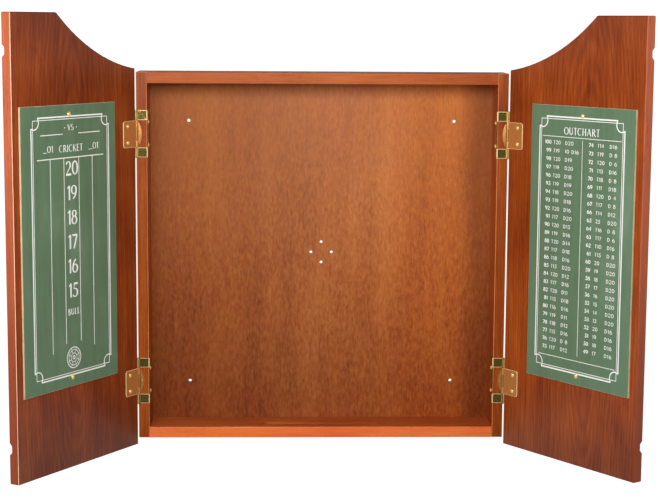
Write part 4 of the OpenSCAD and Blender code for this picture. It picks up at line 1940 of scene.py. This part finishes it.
@dataclass
class Studio:
    """Pale floor, soft light and the camera.

    Attributes:
        eye: Where the camera stands, in metres.
        yaw: Turn of the camera to the right, in degrees.
        pitch: Tilt up, in degrees.
        roll: Roll, in degrees.
        focal: Focal length, in widths of the camera's frame.
        sensor: Width of that frame, in millimetres.
        floor_z: Height of the floor.
        floor_half: Half its width.
        floor_colour: Its colour.
        lights: The soft lights.
    """

    eye: Triple = (-0.0632, -2.5683, 0.3531)
    yaw: float = 1.72
    pitch: float = -7.77
    roll: float = 0.35
    focal: float = 2.5348485
    sensor: float = 36.0
    floor_z: float = -0.95
    floor_half: float = 30.0
    floor_colour: Colour = field(default_factory=lambda: chart(250, 250, 250))
    lights: Sequence[Softbox] = (
        Softbox("key", (-0.2, -1.25, 0.54), (0.0, 0.0, 0.05), (1.0, 0.4), 12.5),
        Softbox("left_panel", (-1.5, -1.6, 0.2), (0.0, 0.0, 0.0), (1.2, 1.4), 11.0),
        Softbox("right_panel", (1.5, -1.6, 0.2), (0.0, 0.0, 0.0), (1.2, 1.4), 6.5),
    )

    def build(self) -> None:
        """Set up floor, world, lights and camera."""
        self._floor()
        self._world()
        for light in self.lights:
            light.hang()
        self._camera()
        bpy.context.scene.view_settings.view_transform = "Standard"

    def _floor(self) -> None:
        """A wide plain floor well below the cabinet, under a plain dome."""
        floor = bmesh.new()
        bmesh.ops.create_grid(floor, x_segments=1, y_segments=1, size=self.floor_half)
        bmesh.ops.translate(floor, verts=floor.verts, vec=(0.0, 0.0, self.floor_z))
        dome = bmesh.new()
        bmesh.ops.create_uvsphere(dome, u_segments=32, v_segments=16, radius=self.floor_half)
        bench = Bench("floor_paint")
        cloud = bench.noise(bench.point(), 1.5, 3.0, 0.5)
        red, green, blue, alpha = self.floor_colour
        darker = (red * 0.985, green * 0.985, blue * 0.985, alpha)
        glow = bench.mix(cloud, self.floor_colour, darker)
        material = bench.shade(
            {
                "Base Color": glow,
                "Roughness": 0.8,
                "Emission Color": glow,
                "Emission Strength": 1.0,
            }
        )
        for name, mesh in (("floor", floor), ("dome", dome)):
            data = bpy.data.meshes.new(name)
            mesh.to_mesh(data)
            mesh.free()
            data.materials.append(material)
            shell = bpy.data.objects.new(name, data)
            bpy.context.scene.collection.objects.link(shell)
            shell.visible_glossy = False
            shell.visible_diffuse = False
            shell.visible_shadow = False

    @staticmethod
    def _world() -> None:
        """Soft light from behind and beside, a little from below, and a dark room in front."""
        world = bpy.data.worlds.new("studio")
        world.use_nodes = True
        tree = world.node_tree
        tree.nodes.clear()
        coords = tree.nodes.new("ShaderNodeTexCoord")
        split = tree.nodes.new("ShaderNodeSeparateXYZ")
        tree.links.new(coords.outputs["Generated"], split.inputs[0])

        def band(axis: int, low: float, high: float, first: float, last: float) -> bpy.types.Node:
            """Brightness that changes along one axis of the direction."""
            node = tree.nodes.new("ShaderNodeMapRange")
            node.interpolation_type = "SMOOTHSTEP"
            for index, value in enumerate((low, high, first, last), 1):
                node.inputs[index].default_value = value
            tree.links.new(split.outputs[axis], node.inputs[0])
            return node

        def join(operation: str, first: bpy.types.Node, second: bpy.types.Node) -> bpy.types.Node:
            """Two brightnesses, put together."""
            node = tree.nodes.new("ShaderNodeMath")
            node.operation = operation
            tree.links.new(first.outputs[0], node.inputs[0])
            tree.links.new(second.outputs[0], node.inputs[1])
            return node

        behind = join("MULTIPLY", band(1, -0.7, -0.1, 0.08, 0.6), band(2, 0.15, 0.6, 1.0, 0.15))
        total = join("ADD", behind, band(2, -0.7, -0.15, 0.22, 0.0))
        back = tree.nodes.new("ShaderNodeBackground")
        out = tree.nodes.new("ShaderNodeOutputWorld")
        tree.links.new(total.outputs[0], back.inputs[1])
        tree.links.new(back.outputs[0], out.inputs[0])
        back.inputs[0].default_value = (1.0, 1.0, 1.0, 1.0)
        bpy.context.scene.world = world

    def _camera(self) -> None:
        """The camera, in front, a little to the left and above the middle."""
        yaw, pitch, roll = (math.radians(v) for v in (self.yaw, self.pitch, self.roll))
        forward = Vector(
            (math.sin(yaw) * math.cos(pitch), math.cos(yaw) * math.cos(pitch), math.sin(pitch))
        )
        level = Vector((math.cos(yaw), -math.sin(yaw), 0.0))
        above = level.cross(forward)
        right = level * math.cos(roll) + above * math.sin(roll)
        up = above * math.cos(roll) - level * math.sin(roll)
        data = bpy.data.cameras.new("camera")
        data.sensor_width = self.sensor
        data.lens = self.focal * self.sensor
        data.clip_end = 200.0
        camera = bpy.data.objects.new("camera", data)
        turn = Matrix((right, up, -forward)).transposed().to_4x4()
        camera.matrix_world = Matrix.Translation(self.eye) @ turn
        bpy.context.scene.collection.objects.link(camera)
        bpy.context.scene.camera = camera


# ---------------------------------------------------------------- whole


def main() -> None:
    """Build the studio and every sub-assembly in turn."""
    logging.basicConfig(level=logging.INFO, format="%(message)s")
    Studio().build()
    shop = Paintshop()
    Carcass(shop).build()
    HingeSet(shop).build()
    for side in Side:
        Door(side, shop, rubbed=side is Side.LEFT).build()
    CricketSheet(Side.LEFT, shop, middle_a=3.0).build()
    OutSheet(Side.RIGHT, shop, middle_a=-1.5).build()


if __name__ == "__main__":
    main()
